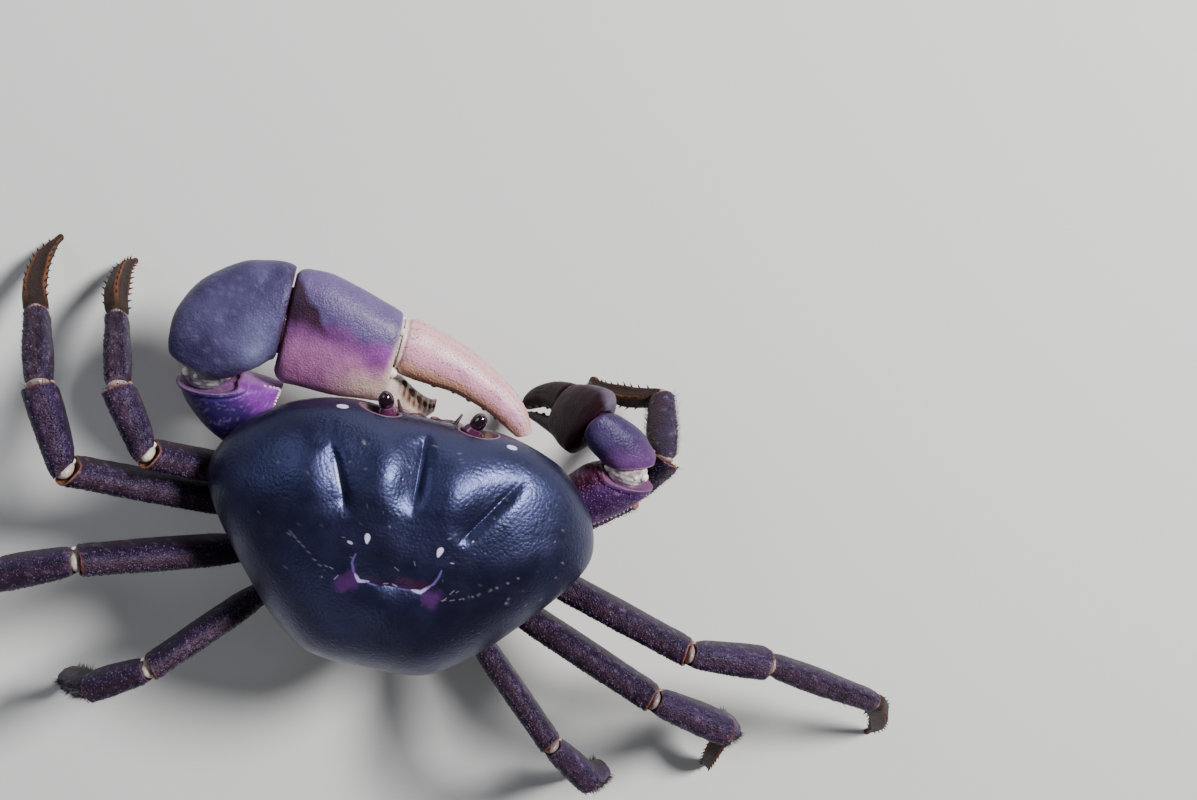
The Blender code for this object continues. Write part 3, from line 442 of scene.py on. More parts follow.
# Low swellings of the lobes: middle, half sizes, height, BOTH sides or where they are drawn only
SWELLINGS = [
    ((7.2, 12.6), (5.2, 8.6), 1.45, BOTH), ((27.0, 2.0), (8.5, 8.5), 0.9, 0),
    ((-24.5, 7.0), (9.0, 9.5), 1.5, 0), ((0.0, -3.4), (6.5, 5.0), 0.4, 0),
    ((0.0, -17.0), (6.0, 5.0), 0.25, 0), ((22.0, -13.0), (8.0, 8.0), 0.55, BOTH)]


def spline(points, count):
    """Evenly parted points on a Catmull-Rom curve through the given ones."""
    points = np.asarray(points, float)
    ends = np.concatenate([[points[0] * 2 - points[1]], points, [points[-1] * 2 - points[-2]]])
    place = np.linspace(0, len(points) - 1, count + 1)
    span = np.minimum(place.astype(int), len(points) - 2)
    t = (place - span)[:, None]
    a, b, c, d = (ends[span + k] for k in range(4))
    return 0.5 * (2 * b + (c - a) * t + (2 * a - 5 * b + 4 * c - d) * t ** 2
                  + (3 * b - a - 3 * c + d) * t ** 3)


def distance_to(x, y, points):
    """Distance in the plane to a line through the points, and the nearest spot's share of it."""
    best = np.full(np.shape(x), 1e9)
    along = np.zeros(np.shape(x))
    total = len(points) - 1
    for k in range(total):
        a = np.array(points[k], float)
        b = np.array(points[k + 1], float)
        d = b - a
        t = np.clip(((x - a[0]) * d[0] + (y - a[1]) * d[1]) / (d @ d), 0.0, 1.0)
        gap = np.hypot(x - a[0] - d[0] * t, y - a[1] - d[1] * t)
        nearer = gap < best
        best = np.where(nearer, gap, best)
        along = np.where(nearer, (k + t) / total, along)
    return best, along


def carapace_relief(x, y):
    """How far the shell sinks below the plain dome at a place seen from above."""
    depth = np.zeros(np.shape(x))
    for points, width, deep, side in GROOVES:
        spot = np.abs(x) if side == BOTH else x
        near, along = distance_to(spot, y, points)
        near = near / width
        strength = ramp(along, 0.0, 0.3)
        broad = 4.0
        if deep > DEEP_GROOVE:
            if abs(points[0][0]) > 5.0:
                strength = ramp(along, -0.12, 0.2)
            line = np.array(points[::-1])
            broad = np.where(spot > np.interp(y, line[:, 1], line[:, 0]), 2.3, 5.5)
        strength = np.minimum(strength, fade(along, 0.7, 1.0))
        crease = 0.3 * np.exp(-np.abs(near) ** 1.5) + 0.7 * np.exp(-(near / broad) ** 2)
        depth = depth + deep * strength * crease
    for (a, b), (w, h), rise, side in SWELLINGS:
        spot = np.abs(x) if side == BOTH else x
        depth = depth - rise * np.exp(-((spot - a) / w) ** 2 - ((y - b) / h) ** 2)
    return depth


def edge_height(y):
    """Height of the carapace's edge at a place along it."""
    edge = EDGE_SIDE_Z + (EDGE_FRONT_Z - EDGE_SIDE_Z) * ramp(y, 8.0, 23.0)
    return edge + (EDGE_REAR_Z - EDGE_SIDE_Z) * ramp(-y, 12.0, 35.0)


# Marks of the carapace seen from above: spots (middle, half sizes, slant, how much the rear end
# narrows, strength), lines, among them pale blue painted sheen along the grooves, and patches
SPOTS = [
    ((-7.95, -1.05), (0.56, 1.2), 0.12, 0.42, 1.0), ((7.4, -0.6), (0.62, 1.15), -0.1, 0.42, 1.0),
    ((-18.9, 22.7), (1.3, 0.8), 0.05, 0.0, 1.0), ((18.2, 22.5), (1.25, 0.8), -0.35, 0.0, 1.0),
    ((-11.2, -2.7), (0.6, 0.36), 0.5, 0.0, 0.6), ((10.6, -2.4), (0.5, 0.16), 0.0, 0.0, 0.4),
    ((13.8, 2.9), (0.2, 0.2), 0.0, 0.0, 0.8)]
LILAC = (104, 82, 146)
LILAC_PALE = (168, 154, 206)
# Pale blue of thin lines along the grooves: painted sheen on the groove edges.
GROOVE_SHEEN = (88, 90, 146)
LINES = [
    # points, half width at the middle, colour, strength
    ([(-18.2, 12.8), (-17.2, 10.6), (-16.3, 8.4), (-15.5, 6.6)], 0.28, PALE_MARK, 0.6),
    # The three thin pale blue lines in the grooves are painted sheen.
    ([(-15.9, 7.6), (-14.8, 5.2), (-13.9, 3.0)], 0.12, GROOVE_SHEEN, 0.3),
    ([(18.2, 12.4), (15.9, 9.0), (13.4, 5.4)], 0.1, GROOVE_SHEEN, 0.12),
    ([(-0.5, 18.0), (-0.35, 14.0), (-0.2, 8.4)], 0.1, GROOVE_SHEEN, 0.08),
    ([(-9.5, -4.8), (-9.75, -7.1), (-8.9, -8.9), (-7.7, -10.2)], 0.22, LILAC, 0.75),
    ([(-8.5, -9.4), (-7.3, -10.7), (-5.4, -10.3)], 0.36, LILAC_PALE, 1.0),
    ([(-6.2, -10.5), (-4.8, -10.7), (-3.6, -10.8)], 0.13, LILAC, 0.7),
    ([(-2.3, -10.15), (-1.3, -9.9)], 0.12, LILAC_PALE, 0.5),
    ([(-0.4, -9.85), (0.8, -10.3)], 0.13, LILAC_PALE, 0.55),
    ([(1.2, -10.5), (2.6, -10.5), (4.3, -10.2)], 0.15, LILAC, 0.5),
    ([(3.8, -10.2), (5.8, -10.3), (7.5, -8.6)], 0.4, LILAC_PALE, 1.0),
    ([(6.8, -9.2), (8.1, -8.0), (8.7, -6.1), (8.85, -4.4)], 0.22, LILAC, 0.85)]
BRIGHT_VIOLET = (66, 30, 82)
WINE = (48, 16, 38)
PATCHES = [
    # middle, half sizes, colour, strength
    ((-10.1, -12.3), (2.6, 2.1), BRIGHT_VIOLET, 0.95),
    ((-9.2, -10.4), (1.9, 2.6), BRIGHT_VIOLET, 0.6),
    ((-8.2, -11.4), (1.8, 1.2), BRIGHT_VIOLET, 0.7),
    ((8.3, -11.7), (2.4, 2.1), BRIGHT_VIOLET, 0.95),
    ((7.2, -10.5), (1.5, 1.7), BRIGHT_VIOLET, 0.7),
    ((9.3, -9.8), (1.6, 1.6), BRIGHT_VIOLET, 0.4),
    ((3.6, -8.9), (6.0, 1.7), WINE, 0.9), ((-2.6, -9.7), (4.4, 1.1), WINE, 0.6),
    ((-11.0, -3.0), (2.6, 1.0), (38, 24, 54), 0.5)]
MARKS_ABOVE = 50.0
SPOTS_ABOVE = 48.0
# Where the shell's faces are halved for the marks: above this level, and in the middle field
FINE_ABOVE = 46.0
FINE_FIELD_Y = (-15.5, -3.5)
FINE_FIELD_HALF = 13.5
ORBIT_FIELD_Y = 15.0
ORBIT_FIELD_Z = 56.5


def carapace_tint(p):
    """Colour of the carapace by place."""
    x, y, z = p[:, 0], p[:, 1], p[:, 2]
    slow = noise3(p, 9.0, 1)
    quick = noise3(p, 1.6, 2)
    below = edge_height(y) - z
    tint = paint(SLATE, (SLATE_BLUE, 0.5 + 0.5 * slow), (PLUM, ramp(below, 0.3, 4.0) * 0.85),
                 ((120, 84, 84), ramp(below, 4.0, 11.0) * 0.75),
                 ((92, 70, 78), hill(below, 0.35, 0.3) * 0.55))
    for (a, b), (w, h), colour, strength in PATCHES:
        far = np.hypot((x - a) / w, (y - b) / h) + 0.26 * quick + 0.2 * noise3(p, 0.6, 3)
        tint = paint(tint, (colour, fade(far, 0.35, 1.2) * strength * (z > MARKS_ABOVE)))
    for points, width, colour, strength in LINES:
        near, along = distance_to(x + 0.12 * quick, y + 0.12 * slow, points)
        wide = width * np.sqrt(np.clip(np.sin(np.pi * np.clip(along, 0.02, 0.98)), 0, 1))
        near = fade(near, wide * 0.55, wide + 0.16)
        tint = paint(tint, (colour, near * strength * (z > MARKS_ABOVE)))
    for (a, b), (w, h), lean, taper, strength in SPOTS:
        high = z[np.argmin(np.hypot(x - a, y - b) + 100.0 * (z < SPOTS_ABOVE))]
        v = np.sign(y - b) * np.hypot(y - b, z - high)
        u = (x - a) + v * lean
        far = np.hypot(u / (w * (1 + taper * np.clip(v / h, -1, 1))), v / h) + 0.06 * quick
        tint = paint(tint, (PALE_MARK, fade(far, 0.85, 1.08) * strength * (z > SPOTS_ABOVE)))
    for x0, y0, turn, length, strength in SCRATCHES:
        end = (x0 + math.cos(turn) * length, y0 + math.sin(turn) * length)
        near = distance_to(x, y, [(x0, y0), end])[0]
        tint = paint(tint, ((150, 146, 160), fade(near, 0.03, 0.16) * strength * (z > MARKS_ABOVE)))
    return tint


def scratches():
    """Short fine scratches, many behind the front edge and two strings of dashes at the sides."""
    rows = []
    for _ in range(64):
        x = DICE.uniform(-36, 36)
        y = DICE.uniform(-6, 22) - 0.012 * x * x
        rows.append((x, y, DICE.uniform(-1.2, 0.2), DICE.uniform(0.3, 1.3), DICE.uniform(0.1, 0.4)))
    for t in np.arange(9) / 8:
        rows.append((10.5 + 14.5 * t, -11.2 + 7.6 * t ** 1.5, 0.35 + 0.3 * t, 0.95, 0.42))
        rows.append((-23.8 + 8.4 * t, -3.6 - 6.2 * t, -0.6, 0.7, 0.34))
    return rows + [(-15.3, -9.0, -0.2, 0.9, 0.5), (-14.0, -9.1, -0.3, 0.8, 0.5),
                   (-12.4, -11.6, 1.1, 1.2, 0.6), (-15.8, -11.6, -0.3, 0.8, 0.55),
                   (10.8, -11.3, 1.0, 1.1, 0.5), (11.9, -9.4, 1.0, 1.2, 0.5),
                   (13.1, -8.8, 0.8, 0.6, 0.4)]


SCRATCHES = scratches()
CARAPACE_AROUND = 150
CARAPACE_DOWN = 34
CARAPACE_UP = 92
DOME_POWER = 2.25


def carapace_levels(outline):
    """Rings of the plain carapace without its hollows."""
    x, y = outline[:, 0], outline[:, 1]
    edge = edge_height(y)

    def ring(across, along, height):
        along = CARAPACE_CENTRE_Y + (y - CARAPACE_CENTRE_Y) * along
        return np.stack([x * across, along, height], axis=-1)

    rings = [ring(*smooth_table(LOWER_WALL, share), UNDERSIDE_Z + (edge - UNDERSIDE_Z) * share)
             for share in np.linspace(0.0, 1.0, CARAPACE_DOWN, endpoint=False)]
    for step in np.linspace(0.0, 1.0, CARAPACE_UP, endpoint=False):
        across = math.cos(step * math.pi / 2)
        rise = (1.0 - across ** 2) ** (1 / DOME_POWER)
        level = ring(across, across, edge + (CARAPACE_TOP - edge) * rise)
        level[:, 2] -= carapace_relief(level[:, 0], level[:, 1]) * ramp(rise, 0.0, 0.3)
        rings.append(level)
    return np.array(rings)


def near_marks(p, reach):
    """Whether a place lies near an orbit, a spot, the mark in the middle or a painted line."""
    side = abs(p.x)
    return p.z >= FINE_ABOVE and (
        (p.y > ORBIT_FIELD_Y and p.z < ORBIT_FIELD_Z
         and abs(side - ORBIT_MIDDLE[0]) < ORBIT_HALF[0] + reach)
        or any(abs(p.x - a) < w + reach and abs(p.y - b) < h + reach
               for (a, b), (w, h), *_ in SPOTS)
        or (FINE_FIELD_Y[0] < p.y < FINE_FIELD_Y[1] and side < FINE_FIELD_HALF + reach)
        or any(distance_to(p.x, p.y, points)[0] < width + reach
               for points, width, *_ in LINES[:4]))


def carapace():
    """Carapace with its grooves, hollows and marks."""
    half = spline(CARAPACE_HALF, CARAPACE_AROUND)
    outline = np.concatenate([half, half[-2:0:-1] * (-1, 1)])
    bm = bmesh.new()
    top = vec(0.0, CARAPACE_CENTRE_Y, CARAPACE_TOP - float(carapace_relief(0.0, CARAPACE_CENTRE_Y)))
    surface = Surface().grid(carapace_levels(outline), (0, 0, 0, 0), end=top)
    verts = [bm.verts.new(p) for p in surface.points[0].tolist()]
    for face in surface.quads[0].tolist() + surface.triangles[0].tolist():
        bm.faces.new([verts[i] for i in face])
    for reach in (1.6, 0.7):
        faces = [f for f in bm.faces if near_marks(f.calc_center_median(), reach)]
        edges = list({e for f in faces for e in f.edges})
        bmesh.ops.subdivide_edges(bm, edges=edges, cuts=1, use_grid_fill=True)
    mesh = bpy.data.meshes.new("carapace_shell")
    bm.to_mesh(mesh)
    bm.free()
    points = np.empty(len(mesh.vertices) * 3)
    mesh.vertices.foreach_get("co", points)
    points = points.reshape(-1, 3)
    points, tint = mouth_hollow(*orbit_hollows(points, carapace_tint(points)))
    mesh.vertices.foreach_set("co", in_metres(flap_hollow(points)))
    mesh.update()
    place_piece("carapace_shell", mesh, tint, "carapace", "carapace_shell", "carapace")


def orbit_hollows(points, tint):
    """Pushes the shell back inside the two orbits and colours rim and hollow."""
    points = points.copy()
    for side in (1, -1):
        middle = ORBIT_MIDDLE * (side, 1, 1)
        near = (points - middle) / ORBIT_HALF
        reach = np.linalg.norm(near, axis=1)
        ahead = points[:, 1] > 10
        inside = (reach < 1.0) & ahead
        depth = np.sqrt(np.maximum(1.0 - near[:, 0] ** 2 - near[:, 2] ** 2, 0.0))
        back = middle[1] - ORBIT_HALF[1] * depth
        pushed = back + (points[:, 1] - back) * ramp(reach, 0.93, 1.0)
        outward = near[:, 0] * side
        hollow = paint((48, 18, 40), ((66, 38, 34, 0.2), ramp(outward, -0.25, 0.35)),
                       ((132, 108, 92, 0.1),
                        ramp(outward, 0.3, 0.5) * ramp(-near[:, 2], -0.1, 0.4) * 0.55))
        tint = paint(tint, ((150, 118, 132), hill(reach, 1.035, 0.03) * ahead * 0.75),
                     (hollow, fade(reach, 0.94, 1.0) * inside))
        points[inside, 1] = pushed[inside]
        points += unit(points - middle) * (hill(reach, 1.08, 0.07) * ahead * 0.16)[:, None]
    return points, tint


def mouth_hollow(points, tint):
    """Presses the mouth field back from the face and paints it dark as shade in that hollow."""
    off = points - MOUTH_MIDDLE
    up = off @ FACE_UP
    wide, high = np.transpose(MOUTH_OUTLINE)
    inside = (np.abs(points[:, 0]) < np.interp(up, high, wide))
    inside &= np.abs(up) < MOUTH_HALF_HEIGHT
    inside &= (points[:, 1] > MOUTH_BEHIND_Y) & (points[:, 2] < MOUTH_BELOW_Z)
    fall = np.where(inside, np.maximum(off @ FACE_OUT + MOUTH_DEPTH, 0.0), 0.0)
    # The pressed-back field is painted dark maroon as shade behind the mouthparts.
    return points - FACE_OUT * fall[:, None], paint(tint, ((52, 26, 34), inside * 0.9))


def frame_of(way):
    """Two directions square to each way."""
    way = unit(way)
    side = unit(np.cross(way, np.broadcast_to((0.31, 0.22, 0.92), way.shape)))
    return way, side, np.cross(way, side)


def pegs(surface, feet, ways, lengths, radii, tints, sides, along, thick, bends=0.0, bent=0.0):
    """Round pegs: along is the way to each of their rings, thick the size of that ring."""
    feet = np.atleast_2d(feet)
    count = len(feet)
    way, side, other = frame_of(np.broadcast_to(ways, feet.shape))
    lengths = np.broadcast_to(lengths, count)[:, None, None]
    radii = np.broadcast_to(radii, count)[:, None, None, None]
    bends = np.broadcast_to(bends, feet.shape)
    spine = (feet[:, None] + way[:, None] * lengths * along[:, None]
             + bends[:, None] * np.reshape(bent, (-1, 1)))
    turn = around(sides)[:, None]
    radial = side[:, None, None] * np.cos(turn) + other[:, None, None] * np.sin(turn)
    surface.crowd(spine[:, :, None] + radial * thick[:, None, None] * radii,
                  np.broadcast_to(tints, (count, 4))[:, None, None],
                  end=feet + way * lengths[:, 0] + bends)


def spikes(surface, feet, ways, lengths, radii, tints, bends=0.0, sides=6, steps=5):
    """Cones with sunk roots; bends says how far each tip leans from the straight way."""
    t = np.linspace(0.0, 1.0, steps, endpoint=False)
    pegs(surface, feet, ways, lengths, radii, tints, sides, t * 1.35 - 0.35, 1.0 - t ** 1.4,
         bends, t ** 2)


def hairs(surface, feet, ways, shortest, longest):
    """Thin hairs of random lengths."""
    spikes(surface, feet, ways, DICE.uniform(shortest, longest, len(feet)), 0.05, HAIR, sides=3,
           steps=3)


def beads(surface, feet, ways, radii, heights, tints, sides=8, steps=4):
    """Rounded tubercles with sunk roots."""
    t = np.linspace(-0.5, 1.0, steps, endpoint=False)
    pegs(surface, feet, ways, heights, radii, tints, sides, t,
         np.sqrt(1.0 - np.maximum(t, 0.0) ** 2))


def globe(middle, axes, sides, rows, folds=None):
    """Rings of an ellipsoid from its three half axes; the first one runs from pole to pole."""
    polar = np.pi * np.arange(1, rows)[:, None] / rows
    turn = around(sides)[None]
    wide = np.sin(polar) * (1.0 if folds is None else folds(polar, turn))
    return (middle - axes[0] * np.cos(polar)[..., None] + axes[1] * (wide * np.cos(turn))[..., None]
            + axes[2] * (wide * np.sin(turn))[..., None])


def blob(surface, middle, axes, tint, sides=20, rows=11):
    """Closed ellipsoid."""
    axes = [np.asarray(a, float) for a in axes]
    surface.grid(globe(middle, axes, sides, rows), tint, start=middle - axes[0],
                 end=middle + axes[0])


def rod(root, tip, share, radius, sides):
    """Rings of a straight round rod with a radius at each share of its way."""
    across, other = frame_of(tip - root)[1:]
    turn = around(sides)
    wide = radius[:, None]
    return ((root + (tip - root) * share[:, None])[:, None]
            + across * (wide * np.cos(turn))[..., None] + other * (wide * np.sin(turn))[..., None])


def on_line(line, at):
    """Rows of a table at places counted in rows, straight between them."""
    return np.stack([np.interp(at, np.arange(len(line)), column)
                     for column in np.transpose(line)], axis=-1)


def shares_of(along, ends=0.06):
    """Shares of the way, closer together near both ends."""
    t = np.linspace(0.0, 1.0, along)
    return t - ends * np.sin(TURN * t)


# The lip and the sunk cap of a tube's end: share of the ring's size, share of the sink
LIP = ((0.93, 0.02), (0.86, 0.25), (0.8, 0.8), (0.62, 1.0))


def shell_tube(surface, form, colour, shares, sides, sunk=(1.1, 1.1)):
    """Tube from form(share, angle) with a thick lip and a sunk cap at each end.

    A sink of None closes that end to its own middle point.
    """
    share, angle = np.broadcast_arrays(shares[:, None], around(sides)[None])
    rows = form(share, angle)
    tints = colour(share, angle, rows)
    waist = rows[len(rows) // 2].mean(axis=0)
    caps, tips = [], []
    for ring, deep in ((rows[0], sunk[0]), (rows[-1], sunk[1])):
        middle = ring.mean(axis=0)
        inward = unit(waist - middle) * (deep or 0.0)
        caps.append([middle + (ring - middle) * shrink + inward * sink
                     for shrink, sink in (LIP if deep else ())])
        tips.append(middle + inward)
    surface.grid(caps[0][::-1] + list(rows) + caps[1],
                 np.array([tints[0]] * len(caps[0]) + list(tints) + [tints[-1]] * len(caps[1])),
                 *tips)


class Limb:
    """Frame of one limb segment, whose two ends lie in the joint planes."""

    def __init__(self, start, end, across, cut_in, cut_out, gap_in=GAP / 2, gap_out=GAP / 2):
        axis = end - start
        self.start = start
        self.length = float(np.linalg.norm(axis))
        self.axis = axis / self.length
        self.side = unit(across - self.axis * (across @ self.axis))
        self.up = np.cross(self.axis, self.side)
        if self.up[2] < 0:
            self.up = -self.up
        self.cut_in = cut_in
        self.cut_out = cut_out
        self.gap_in = gap_in
        self.gap_out = gap_out

    def place(self, share, x, y):
        """Place at a share of the way from joint plane to joint plane, x across and y up."""
        radial = self.side * np.asarray(x)[..., None] + self.up * np.asarray(y)[..., None]
        first = (self.gap_in - radial @ self.cut_in) / (self.axis @ self.cut_in)
        last = self.length - (self.gap_out + radial @ self.cut_out) / (self.axis @ self.cut_out)
        return self.start + radial + self.axis * (first + (last - first) * share)[..., None]

    def at(self, stations, share, angle, lift=0.0):
        """Point of the surface at a share of the way and an angle round the axis."""
        share, angle = np.broadcast_arrays(np.asarray(share, float), np.asarray(angle, float))
        out, inner, top, low, power, shift, rise = np.moveaxis(smooth_table(stations, share), -1, 0)
        x, y = oval(angle, out, inner, top, low, power)
        x, y = lifted(x, y, lift)
        return self.place(share, x + shift, y + rise)

    def way_out(self, angle):
        """Direction away from the axis at an angle round it."""
        angle = np.asarray(angle, float)[..., None]
        return self.side * np.cos(angle) + self.up * np.sin(angle)

    def rough(self, stations, share, angle, size, seed):
        """Slight unevenness of the surface in mm, none at the two ends."""
        return (0.05 * noise3(self.at(stations, share, angle), size, seed)
                * ramp(share, 0.0, 0.1) * ramp(1.0 - share, 0.0, 0.1))

    def joint(self, stations, normal):
        """Frame of the joint at the far end, middle, across and up, and its half sizes."""
        out, _, top, _, _, shift, rise = smooth_table(stations, np.array(1.0))
        across = unit(self.side - normal * (self.side @ normal))
        return (self.place(np.array(1.0), shift, rise) + normal * (GAP / 2), across,
                np.cross(normal, across), out, top)


def turned(v, axis, angle):
    """Vector turned round an axis."""
    axis = unit(axis)
    return (v * math.cos(angle) + np.cross(axis, v) * math.sin(angle)
            + axis * (axis @ v) * (1.0 - math.cos(angle)))


def between(before, joint, after):
    """Normal of the plane that halves the bend at a joint."""
    return unit(unit(joint - before) + unit(after - joint))


def stations_of(profile, thick, high, power, bow=0.0):
    """Rows of a limb from its profile: share, out, inner, top, low, power, shift, rise."""
    return [(share, thick * wide, thick * wide, high * tall, high * tall, power, 0.0,
             bow * 4 * share * (1 - share)) for share, wide, tall in profile]


# Sternum sockets and legs: the height of the socket, and the joints from the body outwards
SOCKET_CORNERS = [
    (12.5, 17.2), (16.3, 8.6), (18.6, 0.0), (18.9, -8.6), (17.0, -16.8), (12.0, -24.0)]
LEGS = {
    "leg_right_1": (26.6, [(30.4, -3.8, 22.8), (53.0, 13.6, 25.0), (55.8, 24.0, 33.0),
                           (56.0, 34.6, 15.5), (41.8, 32.8, 0.0)]),
    "leg_right_2": (27.0, [(32.0, -9.8, 26.2), (71.5, -16.6, 46.5), (90.8, -15.8, 44.0),
                           (124.6, -24.2, 28.8), (138.4, -42.0, 0.0)]),
    "leg_right_3": (27.2, [(30.0, -19.5, 27.0), (66.0, -28.6, 48.0), (84.6, -33.4, 44.0),
                           (94.0, -41.0, 20.5), (98.6, -59.0, 0.0)]),
    "leg_right_4": (28.0, [(25.0, -28.4, 29.0), (46.5, -45.6, 44.5), (58.0, -53.8, 39.5),
                           (65.0, -58.4, 21.8), (66.2, -68.6, 0.0)]),
    "leg_left_1": (27.0, [(-30.6, -3.4, 24.6), (-56.5, 1.5, 45.5), (-65.5, 12.8, 40.5),
                          (-70.5, 24.5, 23.0), (-71.5, 34.4, 0.0)]),
    "leg_left_2": (27.0, [(-32.5, -10.0, 26.2), (-72.0, -5.6, 46.5), (-81.0, 10.2, 44.0),
                          (-87.2, 21.6, 24.0), (-89.0, 35.6, 0.0)]),
    "leg_left_3": (27.2, [(-30.0, -19.5, 27.0), (-65.6, -24.6, 47.0), (-81.0, -33.0, 41.5),
                          (-90.0, -41.6, 19.0), (-93.4, -61.4, 0.0)]),
    "leg_left_4": (28.0, [(-25.0, -28.4, 29.0), (-45.8, -46.4, 44.5), (-56.8, -55.0, 39.0),
                          (-63.6, -61.2, 21.5), (-67.0, -71.0, 0.0)])}
LEG_STOUTNESS = {"1": 0.95, "2": 1.0, "3": 1.0, "4": 0.88}
LEG_LEAN = {"leg_right_1_merus": math.radians(66), "leg_right_1_carpus": math.radians(35),
            "leg_right_1_propodus": math.radians(75)}
FOOT_HALF = 0.75
BASE_PROFILE = [(0.0, 0.86, 0.9), (0.16, 1.0, 1.0), (0.42, 0.93, 0.96), (0.6, 0.76, 0.84),
                (0.84, 0.74, 0.82), (1.0, 0.7, 0.74)]
MERUS_PROFILE = [(0.0, 0.66, 0.6), (0.07, 0.86, 0.78), (0.24, 1.0, 0.95), (0.55, 1.0, 1.0),
                 (0.84, 0.96, 0.93), (0.96, 0.98, 0.9), (1.0, 0.86, 0.8)]
CARPUS_PROFILE = [(0.0, 0.7, 0.66), (0.14, 0.86, 0.84), (0.45, 0.95, 0.95), (0.8, 1.0, 1.04),
                  (0.94, 1.0, 1.0), (1.0, 0.88, 0.86)]
PROPODUS_PROFILE = [(0.0, 0.72, 0.68), (0.12, 0.93, 0.9), (0.45, 1.0, 1.0), (0.8, 0.9, 0.9),
                    (0.95, 0.88, 0.86), (1.0, 0.78, 0.78)]
DACTYL_PROFILE = [(0.0, 0.78, 0.78), (0.08, 1.0, 1.0), (0.34, 0.92, 0.93), (0.62, 0.7, 0.72),
                  (0.84, 0.42, 0.44), (0.95, 0.26, 0.26)]
LEG_SEGMENTS = {
    "base": (3.1, 4.2, 2.4, BASE_PROFILE),
    "merus": (3.2, 5.7, 2.6, MERUS_PROFILE),
    "carpus": (3.6, 4.8, 2.6, CARPUS_PROFILE),
    "propodus": (3.0, 3.8, 2.7, PROPODUS_PROFILE),
    "dactyl": (2.3, 2.8, 2.6, DACTYL_PROFILE)}
DACTYL_BOW = 2.6
LEG_COLOURS = {
    "base": ((58, 34, 44), (84, 54, 54)), "merus": ((32, 20, 42), (42, 16, 26)),
    "carpus": ((40, 27, 54), (44, 17, 34)), "propodus": ((38, 26, 48), (34, 14, 19)),
    "dactyl": ((40, 28, 26), (30, 18, 18))}
# Rows of granules (place round the axis in half turns, count, length in mm), count of
# bristles and how long these are
LEG_ARMOUR = {"merus": (((0.5, 26, 0.3), (0.62, 20, 0.22)), 150, 1.0),
              "carpus": (((0.42, 9, 0.32), (0.6, 9, 0.28)), 190, 1.0),
              "propodus": (((0.38, 12, 0.36), (0.6, 12, 0.36)), 330, 1.2)}
HAIR = rgb(20, 14, 14)
SPINE_HORN = rgb(36, 24, 24)


def socket(side, number, height):
    """Middle and outward normal of a leg socket on the sternum's side wall."""
    x0, y0 = SOCKET_CORNERS[number]
    x1, y1 = SOCKET_CORNERS[number + 1]
    normal = unit((y0 - y1, x1 - x0, 0.0))
    middle = vec((x0 + x1) / 2, (y0 + y1) / 2, height)
    return middle * (side, 1, 1), normal * (side, 1, 1)


def leg_colour(part, limb):
    """Tint of one leg segment: dark along the back, redder underneath, pale rims at the joints."""
    upper, lower = LEG_COLOURS[part]

    def colour(share, angle, p):
        up = np.sin(angle)
        tint = paint(lower, (upper, ramp(up + 0.35 * noise3(p, 3.2, 4), -0.5, 0.4)))
        streak = noise3(p + limb.axis * (p @ limb.axis)[..., None] * 1.6, 1.5, 5)
        tint = mix(tint, tint * 0.45, ramp(streak, 0.1, 0.7) * 0.6)
        if part in LEG_ARMOUR:
            tint = paint(tint, ((112, 92, 124), ramp(noise3(p, 0.75, 6), 0.4, 0.8) * 0.5),
                         ((72, 46, 46), ramp(up, 0.9, 0.995) * 0.3))
        if part == "dactyl":
            crest = ramp(np.abs(np.sin(2 * angle)), 0.8, 0.98)
            tint = paint(tint, ((132, 76, 40), crest * 0.6 * ramp(share, 0.0, 0.3)),
                         ((70, 44, 28), ramp(share, 0.9, 1.0) * 0.7))
        else:
            tint = paint(tint, ((136, 88, 68), fade((1.0 - share) * limb.length, 0.1, 0.4) * 0.8))
        return paint(tint, ((84, 56, 62), fade(share * limb.length, 0.15, 0.7) * 0.5))
    return colour


def leg_piece(name, part, limb, stations):
    """One segment of a walking leg with its granules, bristles and spines."""
    surface = Surface()
    dactyl = part == "dactyl"

    def form(share, angle):
        lift = 0.0 if part == "base" else limb.rough(stations, share, angle, 1.1, 7)
        if part == "merus":
            lip = limb.length * (1.0 - share)
            lift = lift - 0.16 * hill(lip, 1.3, 0.45) + 0.1 * hill(lip, 0.55, 0.3)
        if part in LEG_ARMOUR:
            up = np.sin(angle)
            back = (0.2 + 1.1 * ramp(up, 0.0, 0.9)) / limb.length
            front = 0.7 * ramp(up, 0.2, 0.9) / limb.length
            share = front + share * (1.0 - back - front)
        if dactyl:
            flute = np.cos(4 * (angle - math.pi / 4)) * np.sin(np.pi * np.clip(share, 0, 1))
            lift = lift + 0.24 * flute
        return limb.at(stations, share, angle, lift)

    shell_tube(surface, form, leg_colour(part, limb),
               shares_of(46 if dactyl else max(24, int(limb.length * 1.6))),
               40 if dactyl else 48, sunk=(0.9, None if dactyl else 1.0))
    if dactyl:
        row, number = np.divmod(np.arange(36), 9)
        share = 0.13 + 0.75 * (number + 0.5 * (row % 2)) / 8.5
        angle = np.radians(45 + 90 * row)
        size = 1.55 * (1.05 - 0.75 * np.abs(share - 0.42)) * DICE.uniform(0.8, 1.05, 36)
        spikes(surface, limb.at(stations, share, angle), limb.way_out(angle) + limb.axis * 0.9,
               size, 0.2 + 0.09 * size, SPINE_HORN)
    elif part in LEG_ARMOUR:
        leg_armour(surface, limb, stations, *LEG_ARMOUR[part])
    surface.build(name, *(("tip", "leg_tips") if dactyl else ("leg", "leg_shell")))


